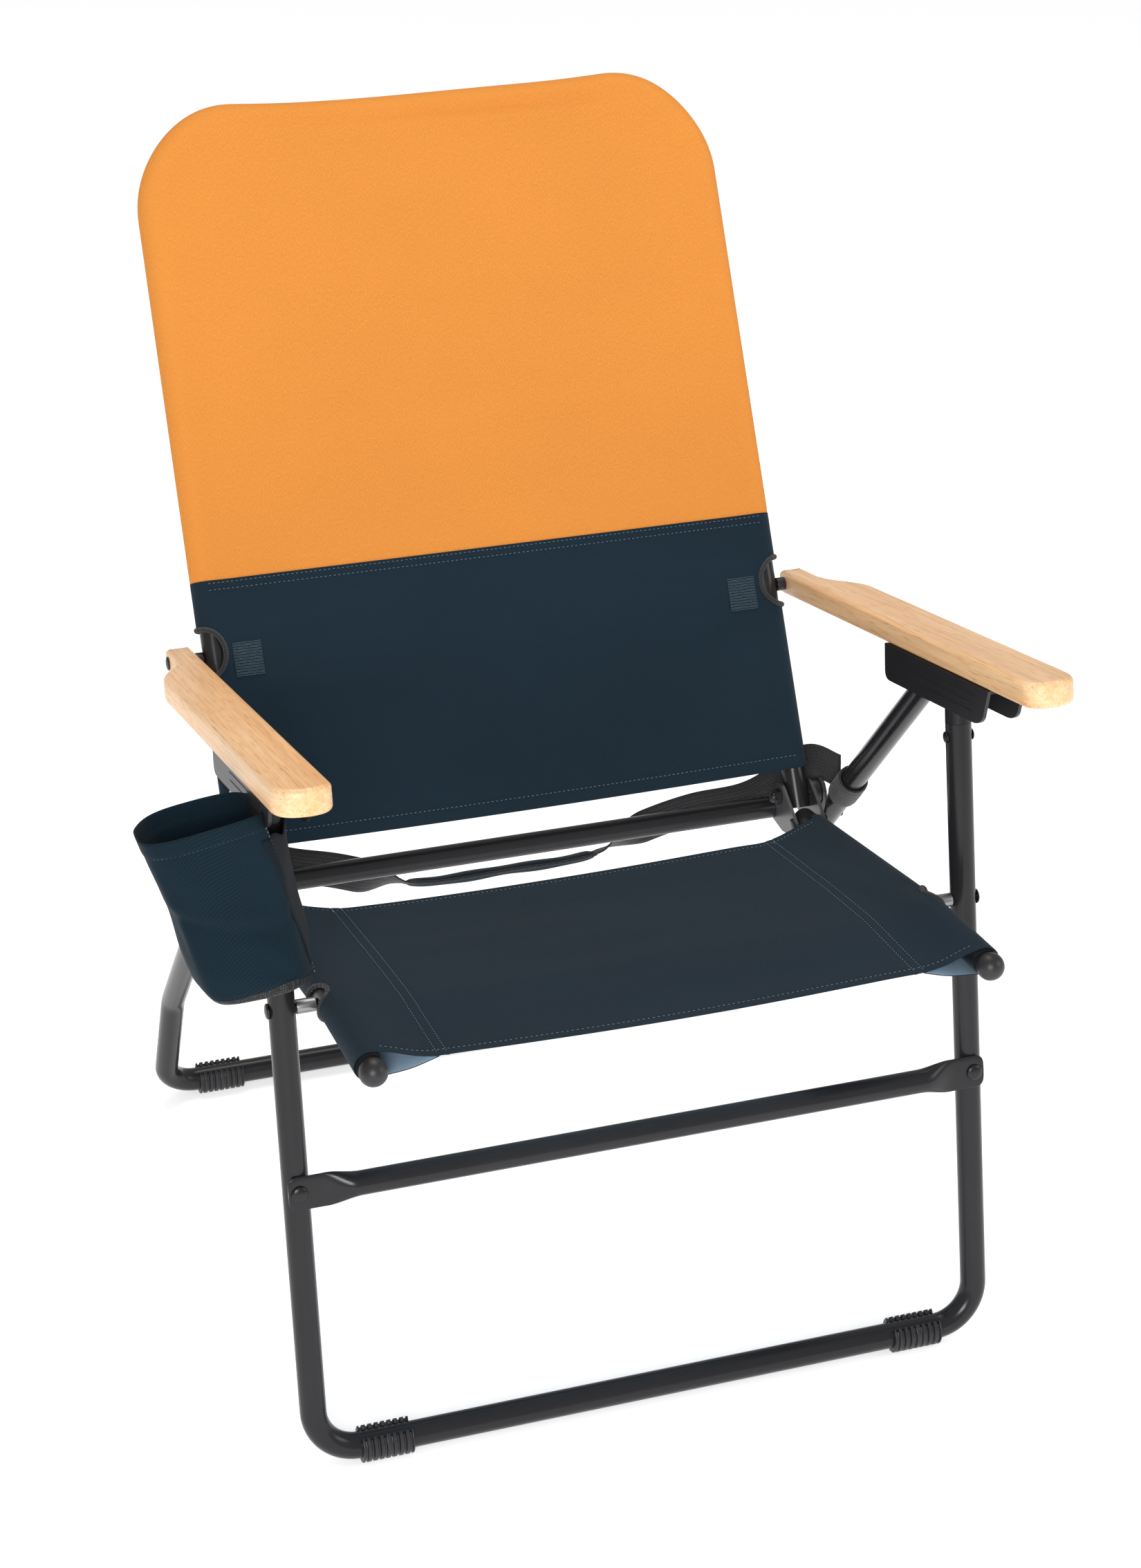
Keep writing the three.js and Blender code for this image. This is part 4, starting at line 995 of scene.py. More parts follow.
def upper_layer(rear):
    """One layer of the orange panel, from the seam up. Its outer rings follow the outline, so it folds round it."""
    nu, nv = 101, 80
    far = SOCK_HALF - 2.0
    inner = np.linspace(RINGS[-1], far, (nu + 1) // 2 - len(RINGS) + 1)[1:]
    depth = np.concatenate([RINGS, inner])
    x = np.zeros((nu, nv))
    a = np.zeros((nu, nv))
    half = nu // 2
    for i in range(nu):
        for j in range(nv):
            ring = min(i, nu - 1 - i)
            from_top = nv - 1 - j
            k = min(ring, from_top)
            d = depth[min(k, half)]
            turn = max(CORNER_OUT - d, 0.0)
            if d > CORNER_OUT:
                corner_x, corner_a = SOCK_HALF - d, SOCK_TOP - d
            else:
                corner_x, corner_a = CORNER_AT
            quarter = turn * math.pi / 4
            sign = -1 if i < half else 1
            if ring <= from_top:
                run = (corner_a - BACK_SEAM) + quarter
                along = run * j / (nv - 1 - k)
                if along <= corner_a - BACK_SEAM:
                    px, pa = corner_x + turn, BACK_SEAM + along
                else:
                    angle = (along - (corner_a - BACK_SEAM)) / max(turn, 1e-9)
                    px, pa = corner_x + turn * math.cos(angle), corner_a + turn * math.sin(angle)
                if i == half:
                    px = 0
            else:
                run = corner_x + quarter
                steps = half - k
                along = run * abs(i - half) / max(steps, 1)
                if along <= corner_x:
                    px, pa = along, corner_a + turn
                else:
                    angle = math.pi / 2 - (along - corner_x) / max(turn, 1e-9)
                    px, pa = corner_x + turn * math.cos(angle), corner_a + turn * math.sin(angle)
            x[i, j] = sign * px
            a[i, j] = pa
    d = sock_depth(x, a)[0]
    n = sock_rear(x, a, d) if rear else -sock_front(x, a, d)
    uv = sock_uv(x, a)
    lift = sock_top(x) * smoothstep(SOCK_TOP - 60, SOCK_TOP - 4, a)
    tuck = 0.8 * smoothstep(5, 0, a - BACK_SEAM)
    n = n - tuck if rear else n + tuck
    rows = on_back(x, n, a + lift + np.where(a < BACK_SEAM + 0.01, -2.0, 0.0))
    return grid(rows, uv=uv, flip=not rear)


NOTCH_AT, NOTCH_HALF, NOTCH_DEEP = 198.5, 22.5, 21.0


def notch(a):
    inside = np.clip(1 - ((np.asarray(a, float) - NOTCH_AT) / NOTCH_HALF) ** 2, 0, None)
    return NOTCH_DEEP * np.sqrt(inside)


def hem_sag(x, a):
    """The lower hem hangs a little between the tubes."""
    return -2.5 * (1 - (x / SOCK_HALF) ** 2) * smoothstep(60, BACK_HEM, a)


def lower_layer(rear):
    """One layer of the navy panel, between the hem and the seam, notched where the arms are bolted on."""
    steps = np.concatenate([RINGS, np.linspace(RINGS[-1], SOCK_HALF, 22)[1:]])
    xs = np.concatenate([-(SOCK_HALF - steps), (SOCK_HALF - steps)[::-1][1:]])
    arc = NOTCH_AT + NOTCH_HALF * np.sin(np.linspace(-math.pi / 2, math.pi / 2, 27))
    rows_a = np.concatenate(
        [[BACK_HEM + 10, BACK_HEM + 1.2, BACK_HEM], BACK_HEM + np.array([0.5, 2, 5, 10, 11.5, 13, 18]),
         np.linspace(BACK_HEM + 24, arc[0] - 6, 18), arc,
         np.linspace(arc[-1] + 5, BACK_SEAM - 12, 6), BACK_SEAM - np.array([10.5, 9, 7.5, 6, 4.5, 3, 1.5, 0.4])]
    )
    x, a = np.meshgrid(xs, rows_a, indexing="ij")
    edge = SOCK_HALF - notch(a)
    pinned = 236.0
    beyond = np.abs(x) > pinned
    drawn_in = pinned + (np.abs(x) - pinned) * (edge - pinned) / (SOCK_HALF - pinned)
    x = np.where(beyond, np.sign(x) * drawn_in, x)
    d = SOCK_HALF - np.abs(x)
    n = sock_rear(x, a, d) if rear else sock_front(x, a, d)
    dimple = 0.5 * (bump(a, BACK_SEAM - 3, 1.3) + bump(a, BACK_SEAM - 9, 1.3) + bump(a, BACK_HEM + 11.5, 1.3))
    doubled = smoothstep(BACK_SEAM - 14, BACK_SEAM - 10, a), smoothstep(BACK_HEM + 14, BACK_HEM + 10, a)
    n = n - dimple + 0.5 * doubled[0] + 0.5 * doubled[1]
    n = n + 0.9 * bump(np.abs(x), 232, 26) * bump(a, NOTCH_AT, 30)
    n[:, :3] -= (1.9, 1.7, 0.9)  # the hem's fold to the inside
    n = n if rear else -n
    return grid(on_back(x, n, a + hem_sag(x, a)), uv=np.stack([x, a], -1), flip=not rear)


upper = joined(
    "back_cloth_orange", [upper_layer(False), upper_layer(True)], orange_cloth, "back",
    ["back_panel_upper"],
)
lower = joined(
    "back_cloth_navy", [lower_layer(False), lower_layer(True)], navy_cloth, "back",
    ["back_panel_lower"],
)


def back_line(x, a, out=0.5):
    x, a = np.broadcast_arrays(np.asarray(x, float), np.asarray(a, float))
    d = sock_depth(x, a)[0]
    return on_back(x, -sock_front(x, a, d) - out, a + hem_sag(x, a))


front_way = np.array((0.0, -math.cos(RECLINE), math.sin(RECLINE)))
line_x = np.linspace(-262, 262, 160)
for label, a in (("seam_a", BACK_SEAM - 3), ("seam_b", BACK_SEAM - 9), ("hem", BACK_HEM + 11.5)):
    rear_out = sock_rear(line_x, np.full(160, a), SOCK_HALF - np.abs(line_x)) + 0.5
    rear_line = on_back(line_x, rear_out, np.full(160, a))
    stitches(f"back_stitches_{label}", back_line(line_x, a), front_way, "back")
    stitches(f"back_stitches_rear_{label}", rear_line, -front_way, "back")

for name, s in SIDES:
    around = np.linspace(-math.pi / 2, math.pi / 2, 60)
    a = NOTCH_AT + NOTCH_HALF * np.sin(around)
    x = SOCK_HALF - notch(a)
    d = SOCK_HALF - x
    front_edge = on_back(s * x, -sock_front(s * x, a, d), a)
    rear_edge = on_back(s * x, sock_rear(s * x, a, d), a)
    loop = np.vstack([front_edge, rear_edge[::-1][1:-1]])
    points, faces, uv = cord_edge(loop, 2.3, ridge=0.35, pitch=2.4)
    add(f"back_notch_binding_{name}", points, faces, binding, "back", uv)


def bartack(name, x, a, wide, tall):
    """A rubbed block of tight zigzag stitching where a tape is sewn behind the cloth."""
    rows = 24
    lines = []
    for k in range(rows):
        at = a + tall * (k / (rows - 1) - 0.5)
        step = np.linspace(x - wide / 2, x + wide / 2, 12)
        lines.append(back_line(step, at + 0.25 * (k % 2), 1.3))
    parts = [cord_edge(line, 0.42, closed=False, sides=5)[:2] for line in lines]
    points, faces = merged(parts)
    return add(name, points, faces, rubbed, "back", None)


for name, s in SIDES:
    bartack(f"back_bartack_{name}", s * 234, 190, 26, 29)


# ---- seat cloth ----
SEAM_X = 205.0
SLEEVE_R = 12.8
ARC_TOP, ARC_LOW = math.radians(97.6), math.radians(-110.4)
SLEEVE_X = 257.3  # where the top layer meets the sleeve
SEAT_NOTCH, NOTCH_TURN = 18.0, math.radians(84)


def seat_edge_y(x):
    """Front and rear ends of the cloth for a place across the seat."""
    x = np.abs(x)
    front = -54 + 3.0 * smoothstep(222, 250, x)
    rear = 271 + 24 * np.clip((x - 192) / 59, 0, 1) + 11 * smoothstep(251, 259, x)
    return front, rear


def seat_height(x, y):
    """Height of the top layer over the rails' axis inside the sleeves."""
    share = np.clip(np.abs(x) / SEAM_X, 0, 1)
    sag = -3.5 * (1 - share**2)
    inside = smoothstep(1.0, 0.8, share)
    drift = 9.0 * np.sin(x / 115.0) + 6.0 * np.sin(x / 53.0 + 1.3)
    waves = 0.55 * np.sin((y + drift) / 19.0) * (0.6 + 0.4 * np.sin(x / 140.0 + 0.5))
    waves += 0.3 * np.sin((y - drift) / 8.7 + 1.0) * (0.5 + 0.5 * np.sin(x / 61.0 + y / 45.0))
    waves += 0.6 * np.sin(y / 47.0 + x / 90.0)
    seam_high = 5.2 - 4.0 * smoothstep(160, -40, y)
    rise = np.clip((np.abs(x) - SEAM_X) / (SLEEVE_X - SEAM_X), 0, 1) ** 0.2
    slope = seam_high + (SLEEVE_R - seam_high) * smoothstep(SEAM_X - 4, SLEEVE_X, np.abs(x)) * rise
    diagonal = 0.9 * bump(np.abs(x) - 228 + 0.25 * (y - 120), 0, 9) * smoothstep(SEAM_X, SEAM_X + 12, np.abs(x))
    return slope + sag + inside * waves + diagonal


def notch_open(y):
    """How far round the rail the cloth is cut away at the seat's pivot."""
    return NOTCH_TURN * np.sqrt(np.clip(1 - ((np.asarray(y, float) - SEAT_PIVOT[0]) / SEAT_NOTCH) ** 2, 0, None))


def seat_rows():
    """Shares of the cloth's length, from front to rear, closest together at the hems and the notch."""
    centre = (SEAT_PIVOT[0] + 46.5) / 352.5
    half = SEAT_NOTCH / 352.5
    arc = centre + half * np.sin(np.linspace(-math.pi / 2, math.pi / 2, 23))
    before = np.concatenate([[0, 0.002, 0.008, 0.02, 0.024, 0.03], np.linspace(0.05, arc[0] - 0.012, 22)])
    after = np.concatenate([np.linspace(arc[-1] + 0.012, 0.95, 44), [0.965, 0.976, 0.98, 0.992, 0.998, 1.0]])
    return np.concatenate([before, arc, after])


def rail_point(s, angle, y):
    return np.stack([s * (SEAT_X + SLEEVE_R * np.cos(angle)), y, rail_z(y) + SLEEVE_R * np.sin(angle)], -1)


def sleeve_row(s, y, angle):
    return rail_point(s, angle, y), np.stack([s * (SLEEVE_X + SLEEVE_R * (ARC_TOP - angle)), y], -1)


def across_seat(x):
    front, rear = seat_edge_y(np.array(x))
    return front, rear, front + (rear - front) * seat_rows()


def seat_top():
    across = [188, 195, 197, 199, 203, 205, 207, 210, 216, 224, 232, 240, 248, 253]
    across = np.concatenate([np.linspace(0, 180, 19), across])
    y = across_seat(260.0)[2]
    stop = notch_open(y)
    sleeves = {
        s: [sleeve_row(s, y, stop + (ARC_TOP - stop) * t) for t in np.linspace(0, 1, 13)[::-s]] for s in (-1, 1)
    }
    middle = []
    for x in np.concatenate([-across[::-1], across[1:]]):
        front, rear, y = across_seat(x)
        z = rail_z(y) + seat_height(x, y)
        groove = 0.45 * (bump(abs(x), 205, 1.4) + bump(abs(x), 197, 1.4))
        hem = 0.5 * (bump(y, front + 8, 1.6) + bump(y, rear - 8, 1.6))
        flat = np.stack([np.full_like(y, x), y], -1)
        middle.append((np.column_stack([flat, z - groove - hem]), flat))
    rows, uvs = zip(*sleeves[-1], *middle, *sleeves[1])
    return grid(np.array(rows), uv=np.array(uvs))


def seat_flap(s):
    """The part of the sleeve from the rail's outer side round underneath to the seam."""
    y = across_seat(260.0)[2]
    stop = -notch_open(y)
    rows = [sleeve_row(s, y, stop + (ARC_LOW - stop) * t) for t in np.linspace(0, 1, 13)]
    low_x = SEAT_X + SLEEVE_R * math.cos(ARC_LOW)
    low_z = SLEEVE_R * math.sin(ARC_LOW)
    for t in np.linspace(0, 1, 9)[1:]:
        x = low_x + (SEAM_X - 1 - low_x) * t
        y = across_seat(x)[2]
        seam_high = 3.9 - 4.4 * smoothstep(160, -40, y)
        z = rail_z(y) + low_z + (seam_high - low_z) * t - 1.6 * math.sin(math.pi * t)
        uv = np.stack([np.full_like(y, s * (300 + (low_x - x))), y], -1)
        rows.append((np.stack([np.full_like(y, s * x), y, z], -1), uv))
    points, uvs = zip(*rows)
    return grid(np.array(points), uv=np.array(uvs), flip=s < 0)


def thickened(obj, thick, second=None):
    """Cloth with a real edge, and a second finish on its reverse where one is given."""
    give = obj.modifiers.new("cloth thickness", "SOLIDIFY")
    give.thickness = thick / 1000
    give.offset = -1
    if second:
        obj.data.materials.append(second)
        give.material_offset = 1


seat_layers = [seat_top(), seat_flap(-1), seat_flap(1)]
seat = joined("seat_cloth", seat_layers, navy_cloth, "seat", ["seat_sling"])
thickened(seat, 0.9, lining_cloth)

seat_up = (0, 0.12, 1.0)


def seat_line(x, y):
    x, y = np.broadcast_arrays(np.asarray(x, float), np.asarray(y, float))
    return np.stack([x, y, rail_z(y) + seat_height(x, y) + 0.1], -1)


for name, s in SIDES:
    for row, x in (("a", 205), ("b", 197)):
        front, rear = seat_edge_y(np.array(float(x)))
        y = np.linspace(float(front) + 4, float(rear) - 3, 120)
        stitches(f"seat_stitches_{row}_{name}", seat_line(s * x, y), seat_up, "seat")
for label, from_end in (("front", 8), ("rear", -8)):
    x = np.linspace(-250, 250, 200)
    front, rear = seat_edge_y(x)
    y = front + from_end if from_end > 0 else rear + from_end
    stitches(f"seat_stitches_{label}", seat_line(x, y), seat_up, "seat")
for name, s in SIDES:
    around = np.linspace(-math.pi / 2, math.pi / 2, 40)
    y = SEAT_PIVOT[0] + SEAT_NOTCH * np.sin(around)
    stop = notch_open(y)
    loop = np.vstack([rail_point(s, stop, y), rail_point(s, -stop, y)[::-1][1:-1]])
    points, faces, uv = cord_edge(loop, 1.9, ridge=0.3, pitch=2.2)
    add(f"seat_notch_binding_{name}", points, faces, binding, "seat", uv)


# ---- cup pocket ----
BAG_LOW = np.array((-326.0, 38.0, 451.0, 45.0, 31.0))
BAG_HIGH = np.array((-366.5, 78.0, 598.0, 48.5, 42.5))
LEG_CLEAR, WRAP_R = 12.4, 13.4
RIM_HEM = 12.5


def clear_of_leg(x, y, z):
    """The cloth pushed off the leg it hangs beside."""
    dx, dy = x + LEG_X, y - front_y(z)
    near = np.hypot(dx, dy)
    push = np.maximum(near, LEG_CLEAR) / np.maximum(near, 1e-6)
    return -LEG_X + dx * push, front_y(z) + dy * push


def bag_point(angle, z):
    """A point of the bag's wall, angle counted from +X towards +Y."""
    angle, z = np.broadcast_arrays(np.asarray(angle, float), np.asarray(z, float))
    t = (z - BAG_LOW[2]) / (BAG_HIGH[2] - BAG_LOW[2])
    mix = lambda k: BAG_LOW[k] + (BAG_HIGH[k] - BAG_LOW[k]) * t
    c, s = np.cos(angle), np.sin(angle)
    right_corner = 4.5 * np.clip(np.cos(angle + math.pi / 4), 0, 1) ** 4 * smoothstep(0.3, 0.95, t)
    left_corner = 1.6 * np.clip(np.cos(angle + 3 * math.pi / 4), 0, 1) ** 4
    power = 2 / (2.2 + 0.3 * np.clip(t, 0, 1) + right_corner + left_corner)
    soft = 1.1 * np.sin(3 * angle + 2.2 * t + 0.7) * np.sin(math.pi * np.clip(t, 0, 1))
    soft += 0.7 * np.sin(5 * angle - 3 * t)
    belly = 1.6 * bump(t, 0.16, 0.13) - 1.4 * bump(t, 0.42, 0.16)
    wide = mix(3) + 3.5 * bump(t, 0.5, 0.28) * smoothstep(-0.2, 0.6, c)
    x = mix(0) + np.sign(c) * np.abs(c) ** power * (wide + soft + belly)
    y = mix(1) + np.sign(s) * np.abs(s) ** power * (mix(4) + soft + belly)
    return clear_of_leg(x, y, z)


def rim_z(x, y):
    return 582.5 + 0.15 * (x + 359) - 0.19 * (y - 60)


def bag_edge_z(angle):
    """The cloth's scalloped lower edge, over the net."""
    front = np.cos(angle + math.pi / 2)
    scallop = 7.0 * np.sin(2 * (angle + 1.35)) * np.clip(front, 0, 1)
    return 458.0 + scallop - 8.0 * np.clip(np.cos(angle + 0.35), 0, 1) ** 4


def pocket_creases(angle, z):
    """Creases of the slack cloth: one across the middle, and folds gathered at the foot of the front."""
    height = 508 + 9 * np.sin(2 * angle + 0.4)
    middle = -2.4 * bump(z, height, 5.0) + 1.6 * bump(z, height + 11, 6.0)
    gathered = smoothstep(-2.0, -0.9, angle - 2 * math.pi * (angle > math.pi))
    folds = 2.6 * np.sin((z + 34.0 * angle) / 5.2 + 1.2 * np.sin(z / 9.0))
    folds = folds * smoothstep(496, 474, z) * smoothstep(456, 470, z) * gathered
    upright = 1.3 * np.sin(angle * 6.5 + z / 34.0) * smoothstep(470, 500, z) * smoothstep(575, 550, z)
    return middle + folds + upright


def bag_wall():
    angles = circle(96)
    v = np.concatenate([np.linspace(0, 0.86, 26), np.linspace(0.885, 1.0, 8)])
    low = bag_edge_z(angles)
    high = np.full_like(angles, 585.0)
    for _ in range(4):
        high = rim_z(*bag_point(angles, high))
    rows, uvs = [], []
    for share in v:
        z = low + (high - low) * share
        x, y = bag_point(angles, z)
        proud = 0.8 * smoothstep(RIM_HEM + 1, RIM_HEM - 1, high - z) - 0.5 * bump(high - z, RIM_HEM, 1.0)
        proud = proud + pocket_creases(angles, z) * np.clip(np.cos(angles + 1.75), 0, 1)
        rows.append(np.stack([x, y, z], -1) + compass(angles) * proud[:, None])
        ends = np.append(angles, 2 * math.pi)
        uvs.append(np.stack([ends * 44.0, np.append(z, z[0])], -1))
    return grid(np.array(rows), closed_v=True, uv=np.array(uvs)), angles, high


(points, faces, uv), bag_angles, bag_rim = bag_wall()
pocket = add("cup_pocket_cloth", points, faces, pocket_cloth, "front_legs", uv, ["cup_pocket"])
thickened(pocket, 1.0, pocket_cloth)


def bag_floor():
    """The net bowl at the bottom of the pocket."""
    angles = circle(72)
    centre = np.array((-333.0, 38.5))
    z_edge = bag_edge_z(angles) + 4
    rows = []
    for share in np.linspace(0, 1, 15):
        quarter = share * math.pi / 2
        z = z_edge + (443.0 - z_edge) * math.sin(quarter) ** 0.9
        bag = np.stack(bag_point(angles, np.maximum(z, 446.0)), -1)
        shrink = max(0.002, 1 - (1 - math.cos(quarter)) ** 1.6)
        flat = centre + (bag - centre) * shrink * 0.955 + compass(angles)[:, :2] * math.sin(share * math.pi)
        rows.append(np.column_stack([flat, z]))
    return grid(np.array(rows), closed_v=True, flip=True)


points, faces, _ = bag_floor()
floor_net = add("cup_pocket_net", points, faces, net, "front_legs", None)
thickened(floor_net, 1.2)


def hull_of(points):
    order = points[np.lexsort((points[:, 1], points[:, 0]))]

    def chain(seq):
        out = []
        for p in seq:
            while len(out) > 1:
                a, b = out[-2], out[-1]
                if (b[0] - a[0]) * (p[1] - a[1]) - (b[1] - a[1]) * (p[0] - a[0]) > 0:
                    break
                out.pop()
            out.append(p)
        return out[:-1]

    return np.array(chain(order) + chain(order[::-1]))


def wrap_section(z):
    """The leg panel's path at one height: off the bag's front, round the leg, and back to the bag's rear."""
    angles = circle(240)
    bag = np.stack(bag_point(angles, z), -1)
    loose = smoothstep(535, 455, z)
    leg = np.array((-LEG_X + 4.5 * loose, front_y(z) - 4.0 * loose))
    radius = WRAP_R + 5.4 * loose
    ring = leg + radius * compass(angles)[:, :2]
    hull = hull_of(np.vstack([bag, ring]))
    on_ring = np.abs(np.linalg.norm(hull - leg, axis=1) - radius) < 1e-6
    count = len(hull)
    enter = next(i for i in range(count) if on_ring[i] and not on_ring[i - 1])
    leave = next(i for i in range(count) if not on_ring[i] and on_ring[i - 1])
    front, rear = hull[enter - 1], hull[leave]
    start, stop = hull[enter], hull[leave - 1]
    first, last = (math.atan2(*(p - leg)[::-1]) for p in (start, stop))

    def along_bag(p, way, length):
        i = int(np.argmin(np.linalg.norm(bag - p, axis=1)))
        out, gone = [bag[i]], 0.0
        while gone < length:
            i = (i + way) % len(bag)
            gone += np.linalg.norm(bag[i] - out[-1])
            out.append(bag[i])
        return np.array(out)

    def spread(line, count):
        run = arc_lengths(line)
        return sample(np.linspace(0, run[-1], count), run, line)

    lead = along_bag(front, -1, 9.0)[::-1]
    tail = along_bag(rear, 1, 9.0)
    around = leg + radius * compass(np.linspace(first, last, 24))[:, :2]
    return np.vstack(
        [spread(lead, 6)[:-1], spread(np.array([lead[-1], start]), 14)[:-1], around,
         spread(np.array([stop, tail[0]]), 14)[1:], spread(tail, 6)[1:]]
    )


def leg_wrap():
    count = len(wrap_section(500.0))
    k = np.arange(count)
    high = 572 - 20 * smoothstep(5, 14, k) + 6 * smoothstep(count - 18, count - 6, k)
    low = 460 - 18 * smoothstep(3, 17, k) + 10 * smoothstep(count - 14, count - 3, k)
    levels = np.linspace(440, 592, 60)
    sections = np.array([wrap_section(z) for z in levels])
    v = np.linspace(0, 1, 30)
    rows, uvs = [], []
    for share in v:
        z = low + (high - low) * share
        flat = np.array([sample(z[i], levels, sections[:, i]) for i in range(count)])
        out = unit(flat - np.array((-340.0, 60.0)))
        pucker = 0.9 * np.sin(z / 9.0 + k * 0.35) * smoothstep(6, 12, k) * smoothstep(count - 6, count - 12, k)
        rows.append(np.column_stack([flat + out * (0.9 + pucker * 0.6)[:, None], z]))
        uvs.append(np.stack([arc_lengths(flat), z], -1))
    return grid(np.array(rows), uv=np.array(uvs))


points, faces, uv = leg_wrap()
wrap = add("cup_pocket_leg_panel", points, faces, wrap_cloth_painted_shade, "front_legs", uv)
thickened(wrap, 0.9, wrap_cloth_painted_shade)
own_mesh(wrap)

SEAM_HIGH, SEAM_LOW = 585, 445
seam_way = np.array((0.35, -0.94, 0.0))


def wrap_seam():
    """The seam that joins the leg panel to the bag, a little proud of the panel."""
    out = []
    for z in np.linspace(SEAM_HIGH, SEAM_LOW, 70):
        share = (SEAM_HIGH - z) / (SEAM_HIGH - SEAM_LOW)
        out.append((*(wrap_section(z)[round(5 + 2 * share)] + seam_way[:2] * 1.9), z))
    return np.array(out)


stitches("cup_pocket_stitches_seam", wrap_seam(), seam_way, "front_legs", pitch=3.6, length=2.2)
rim_out, rim_at = compass(bag_angles), bag_rim - RIM_HEM
rim_line = np.column_stack([*bag_point(bag_angles, rim_at), rim_at]) + rim_out * 0.6
rim_line, rim_out = (np.vstack([loop, loop[:1]]) for loop in (rim_line, rim_out))
stitches("cup_pocket_stitches_rim", rim_line, rim_out, "front_legs", navy_thread, pitch=3.4, length=2.2)
edge_angles = circle(140)
edge_z = bag_edge_z(edge_angles)
edge_x, edge_y = bag_point(edge_angles, edge_z)
points, faces, uv = cord_edge(np.stack([edge_x, edge_y, edge_z + 0.3], -1), 1.1, ridge=0.15)
add("cup_pocket_lower_edge", points, faces, pocket_cloth, "front_legs", uv)


# ---- carry strap ----
STRAP_HALF, STRAP_TURN, STRAP_END = 17.0, -1.1, -36
PAD_FROM, PAD_TO = -100.5, 76.5
STRAP_ROUTE = np.array(
    [(-299, 341, 388), (-284, 372, 386), (-262, 390, 372), (-217, 392, 350), (-173, 396, 335), (-100, 396, 310),
     (-12, 396, 308), (76, 396, 311), (122, 396, 330), (172, 396, 341), (225, 392, 347), (262, 391, 363),
     (284, 373, 386), (299, 341, 388)], float,
)


def centripetal(points, per_span=14):
    """A smooth curve through the points, without loops where they lie close together."""
    ext = np.vstack([2 * points[0] - points[1], points, 2 * points[-1] - points[-2]])
    out = []
    for i in range(1, len(ext) - 2):
        near = ext[i - 1 : i + 3]
        t = np.concatenate([[0], np.cumsum(np.linalg.norm(np.diff(near, axis=0), axis=1) ** 0.5)])
        for at in np.linspace(t[1], t[2], per_span, endpoint=False):
            level = near
            for spans in (((0, 1), (1, 2), (2, 3)), ((0, 2), (1, 3)), ((1, 2),)):
                level = [
                    ((t[b] - at) * level[k] + (at - t[a]) * level[k + 1]) / (t[b] - t[a])
                    for k, (a, b) in enumerate(spans)
                ]
            out.append(level[0])
    out.append(points[-1])
    return np.array(out)


strap_line = centripetal(STRAP_ROUTE)
strap_run = arc_lengths(strap_line)


def strap_frame():
    """Directions across the strap and out of its face, turned where it carries the pad."""
    ahead = unit(np.gradient(strap_line, axis=0))
    flat_out = unit(np.stack([-ahead[:, 1], ahead[:, 0], np.zeros(len(ahead))], -1))
    tall = np.cross(ahead, flat_out)
    tall *= np.sign(tall[:, 2])[:, None]
    x = strap_line[:, 0]
    twist = STRAP_TURN * smoothstep(-150, -106, x) * smoothstep(128, 82, x)
    c, s = np.cos(twist)[:, None], np.sin(twist)[:, None]
    return tall * c + flat_out * s, flat_out * c - tall * s


strap_wide, strap_out = strap_frame()


def capped(rows, uv):
    """A sweep of closed rings with a face on each end."""
    points, faces, corners = grid(rows, closed_v=True, uv=uv)
    count = rows.shape[1]
    ends = [list(range(count)), [(len(rows) - 1) * count + k for k in range(count)][::-1]]
    return points, faces + ends, np.vstack([corners, np.zeros((2 * count, 2))])


def strap_band():
    section = []
    for u in np.linspace(-1, 1, 15):
        ribs = 0.12 * math.cos(u * STRAP_HALF * 1.85)
        section.append((STRAP_HALF * u, 0.95 * (1 - 0.35 * abs(u) ** 6) + ribs))
    loop = section + [(w, -t) for w, t in section[::-1]]
    rows = np.array([[p + w * wd + t * o for w, t in loop] for p, wd, o in zip(strap_line, strap_wide, strap_out)])
    across = np.array([w for w, _ in loop] + [loop[0][0]])
    return capped(rows, np.stack(np.meshgrid(strap_run, across, indexing="ij"), -1))


def strap_loop(s):
    """The strap's end, sewn round the rear leg."""
    at = np.array((s * LEG_X, *(hinge_foot + leg_run * STRAP_END)))
    steps = np.linspace(-STRAP_HALF, STRAP_HALF, 19)
    outer = [(d, 14.4 + 0.25 * math.cos(d * 1.85) - 0.7 * (abs(d) / STRAP_HALF) ** 8) for d in steps]
    inner = [(STRAP_HALF, 13.0), (STRAP_HALF, 12.1), (-STRAP_HALF, 12.1), (-STRAP_HALF, 13.0)]
    return lathe(outer + inner + [outer[0]], at, (0, *leg_run), 40)


def plain_uv(points, faces):
    return np.array([(points[i][0] + points[i][2], points[i][1]) for face in faces for i in face])


points, faces, uv = strap_band()
strap_parts = [(points, faces)] + [strap_loop(s) for _, s in SIDES]
all_points, all_faces = merged(strap_parts)
all_uv = np.vstack([uv] + [plain_uv(p, f) for p, f in strap_parts[1:]])
add("strap_band", all_points, all_faces, webbing, "rear_legs", all_uv, ["strap_webbing"])


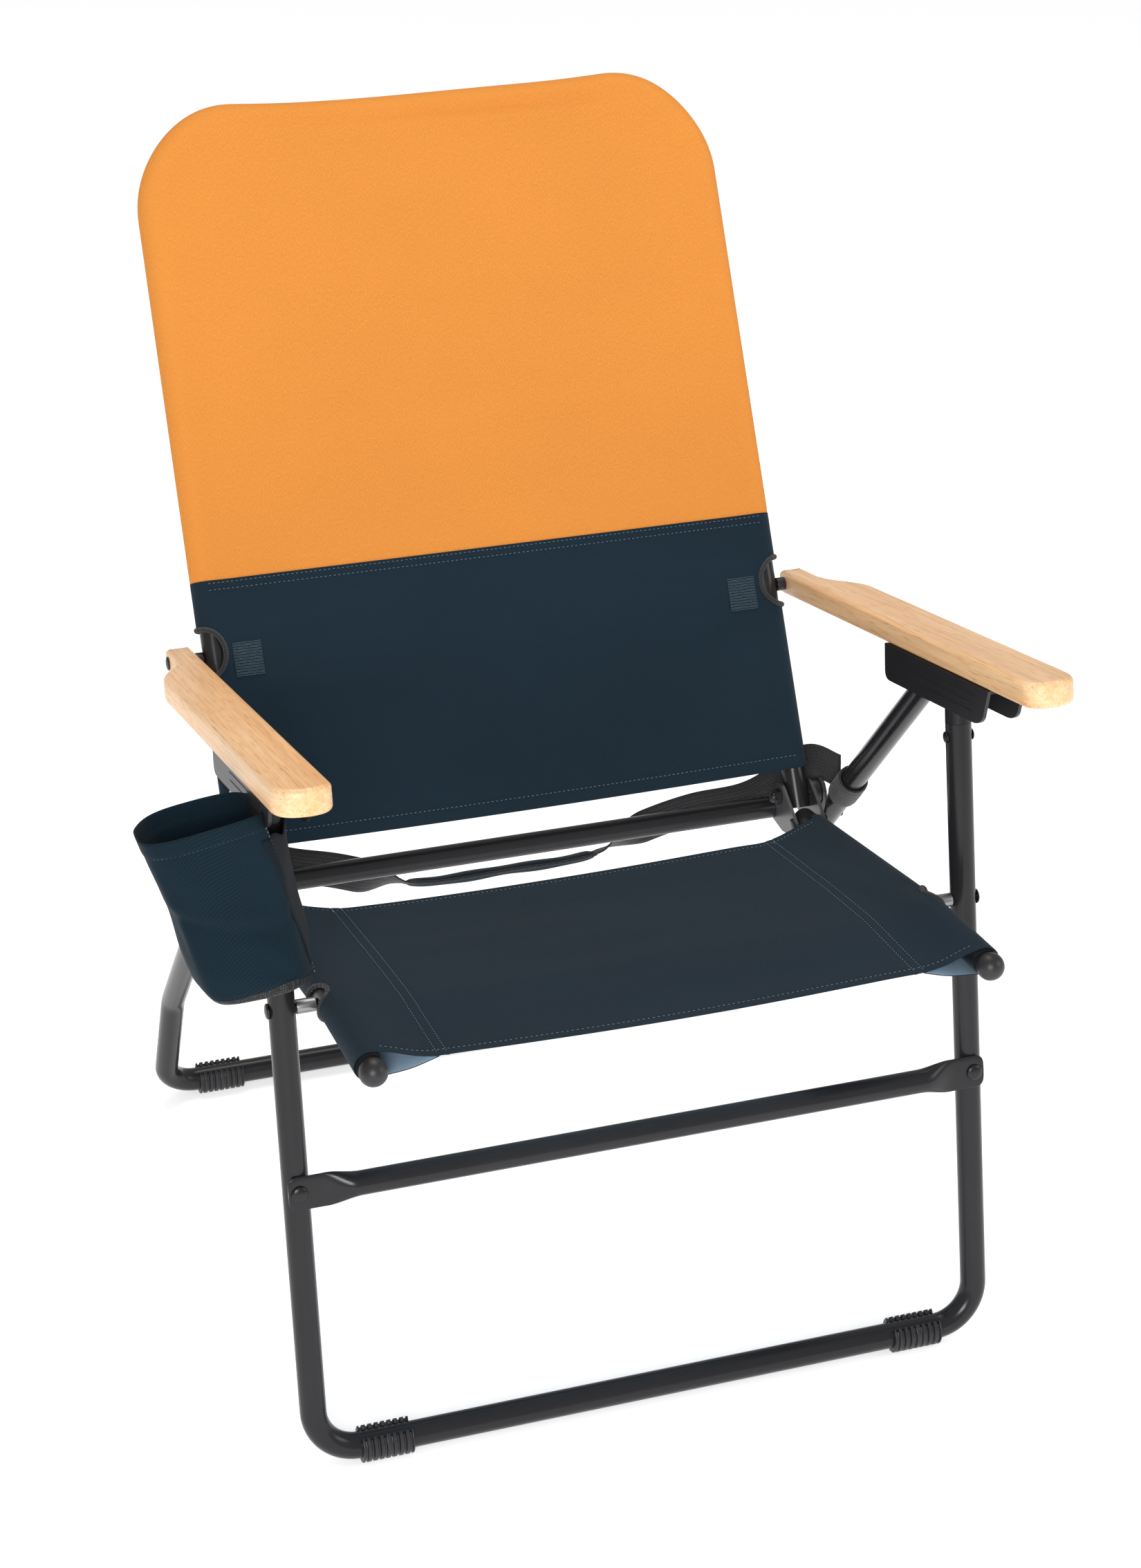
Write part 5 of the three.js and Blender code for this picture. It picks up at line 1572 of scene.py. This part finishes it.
def pad_shape():
    """The quilted pad's skin, and the line of the binding round its edge."""
    inside = np.where((strap_line[:, 0] >= PAD_FROM) & (strap_line[:, 0] <= PAD_TO))[0]
    at = np.linspace(strap_run[inside[0]], strap_run[inside[-1]], 60)
    line, wide, out = (sample(at, strap_run, data) for data in (strap_line, strap_wide, strap_out))
    share = np.linspace(-1, 1, len(at))
    close = np.sqrt(np.clip(1 - np.abs(share) ** 10, 0, None))
    half = 18.6 + 1.6 * close
    thick = (1.6 + 2.9 * close) * (1 - 0.10 * np.cos(share * 9.0))
    angle = circle(40)
    soften = lambda v, power: np.sign(v) * np.abs(v) ** power
    across = soften(np.cos(angle), 0.62) * half[:, None]
    proud = soften(np.sin(angle), 0.9) * thick[:, None]
    rows = line[:, None] + wide[:, None] * across[..., None] + out[:, None] * proud[..., None]
    uv = np.stack(np.meshgrid(at, angle_ends(40) * 16, indexing="ij"), -1)
    edges = [line + wide * k * half[:, None] for k in (-1, 1)]
    return *capped(rows, uv), np.vstack([edges[0], edges[1][::-1]])


points, faces, uv, pad_edge = pad_shape()
pad = add("strap_cushion", points, faces, navy_cloth, "rear_legs", uv, ["strap_pad"])
points, faces, uv = cord_edge(pad_edge, 1.5, ridge=0.2)
add("strap_cushion_binding", points, faces, binding, "rear_legs", uv)

# ---- floor and light ----
floor_mesh = bpy.data.meshes.new("floor")
floor_mesh.from_pydata([(-14, -14, 0), (14, -14, 0), (14, 14, 0), (-14, 14, 0)], [], [(0, 1, 2, 3)])
floor = bpy.data.objects.new("floor", floor_mesh)
bpy.context.scene.collection.objects.link(floor)
floor_look = Look(
    "pale_floor", Roughness=0.9, Specular_IOR_Level=0.1, Emission_Color=(1, 1, 1, 1), Emission_Strength=0.5
)
floor_tint = floor_look.noise(floor_look.coords("Object"), 0.6)
floor_look.color(floor_look.ramp(floor_tint, 0.2, 0.8, (0.92, 0.92, 0.92, 1), (0.94, 0.94, 0.94, 1)))
floor_mesh.materials.append(floor_look.material)

world = bpy.data.worlds.new("studio")
world.use_nodes = True
sky = world.node_tree.nodes["Background"]
sky.inputs["Color"].default_value = (1.0, 1.0, 1.0, 1)
sky.inputs["Strength"].default_value = 0.46
bpy.context.scene.world = world


def soft_light(name, at, size, power):
    data = bpy.data.lights.new(name, "AREA")
    data.shape = "RECTANGLE"
    data.size = data.size_y = size
    data.energy = power
    lamp = bpy.data.objects.new(name, data)
    bpy.context.scene.collection.objects.link(lamp)
    way = Vector((0, 0, 0.45)) - Vector(at)
    lamp.matrix_world = Matrix.Translation(Vector(at)) @ way.to_track_quat("-Z", "Y").to_matrix().to_4x4()


soft_light("key_light", (-1.3, -3.4, 1.8), 1.2, 72)
soft_light("fill_light", (2.7, -1.7, 1.7), 1.4, 18)
soft_light("back_light", (0.2, 0.9, 3.6), 2.0, 42)
scene = bpy.context.scene
scene.view_settings.view_transform = "Standard"
scene.view_settings.look = "None"
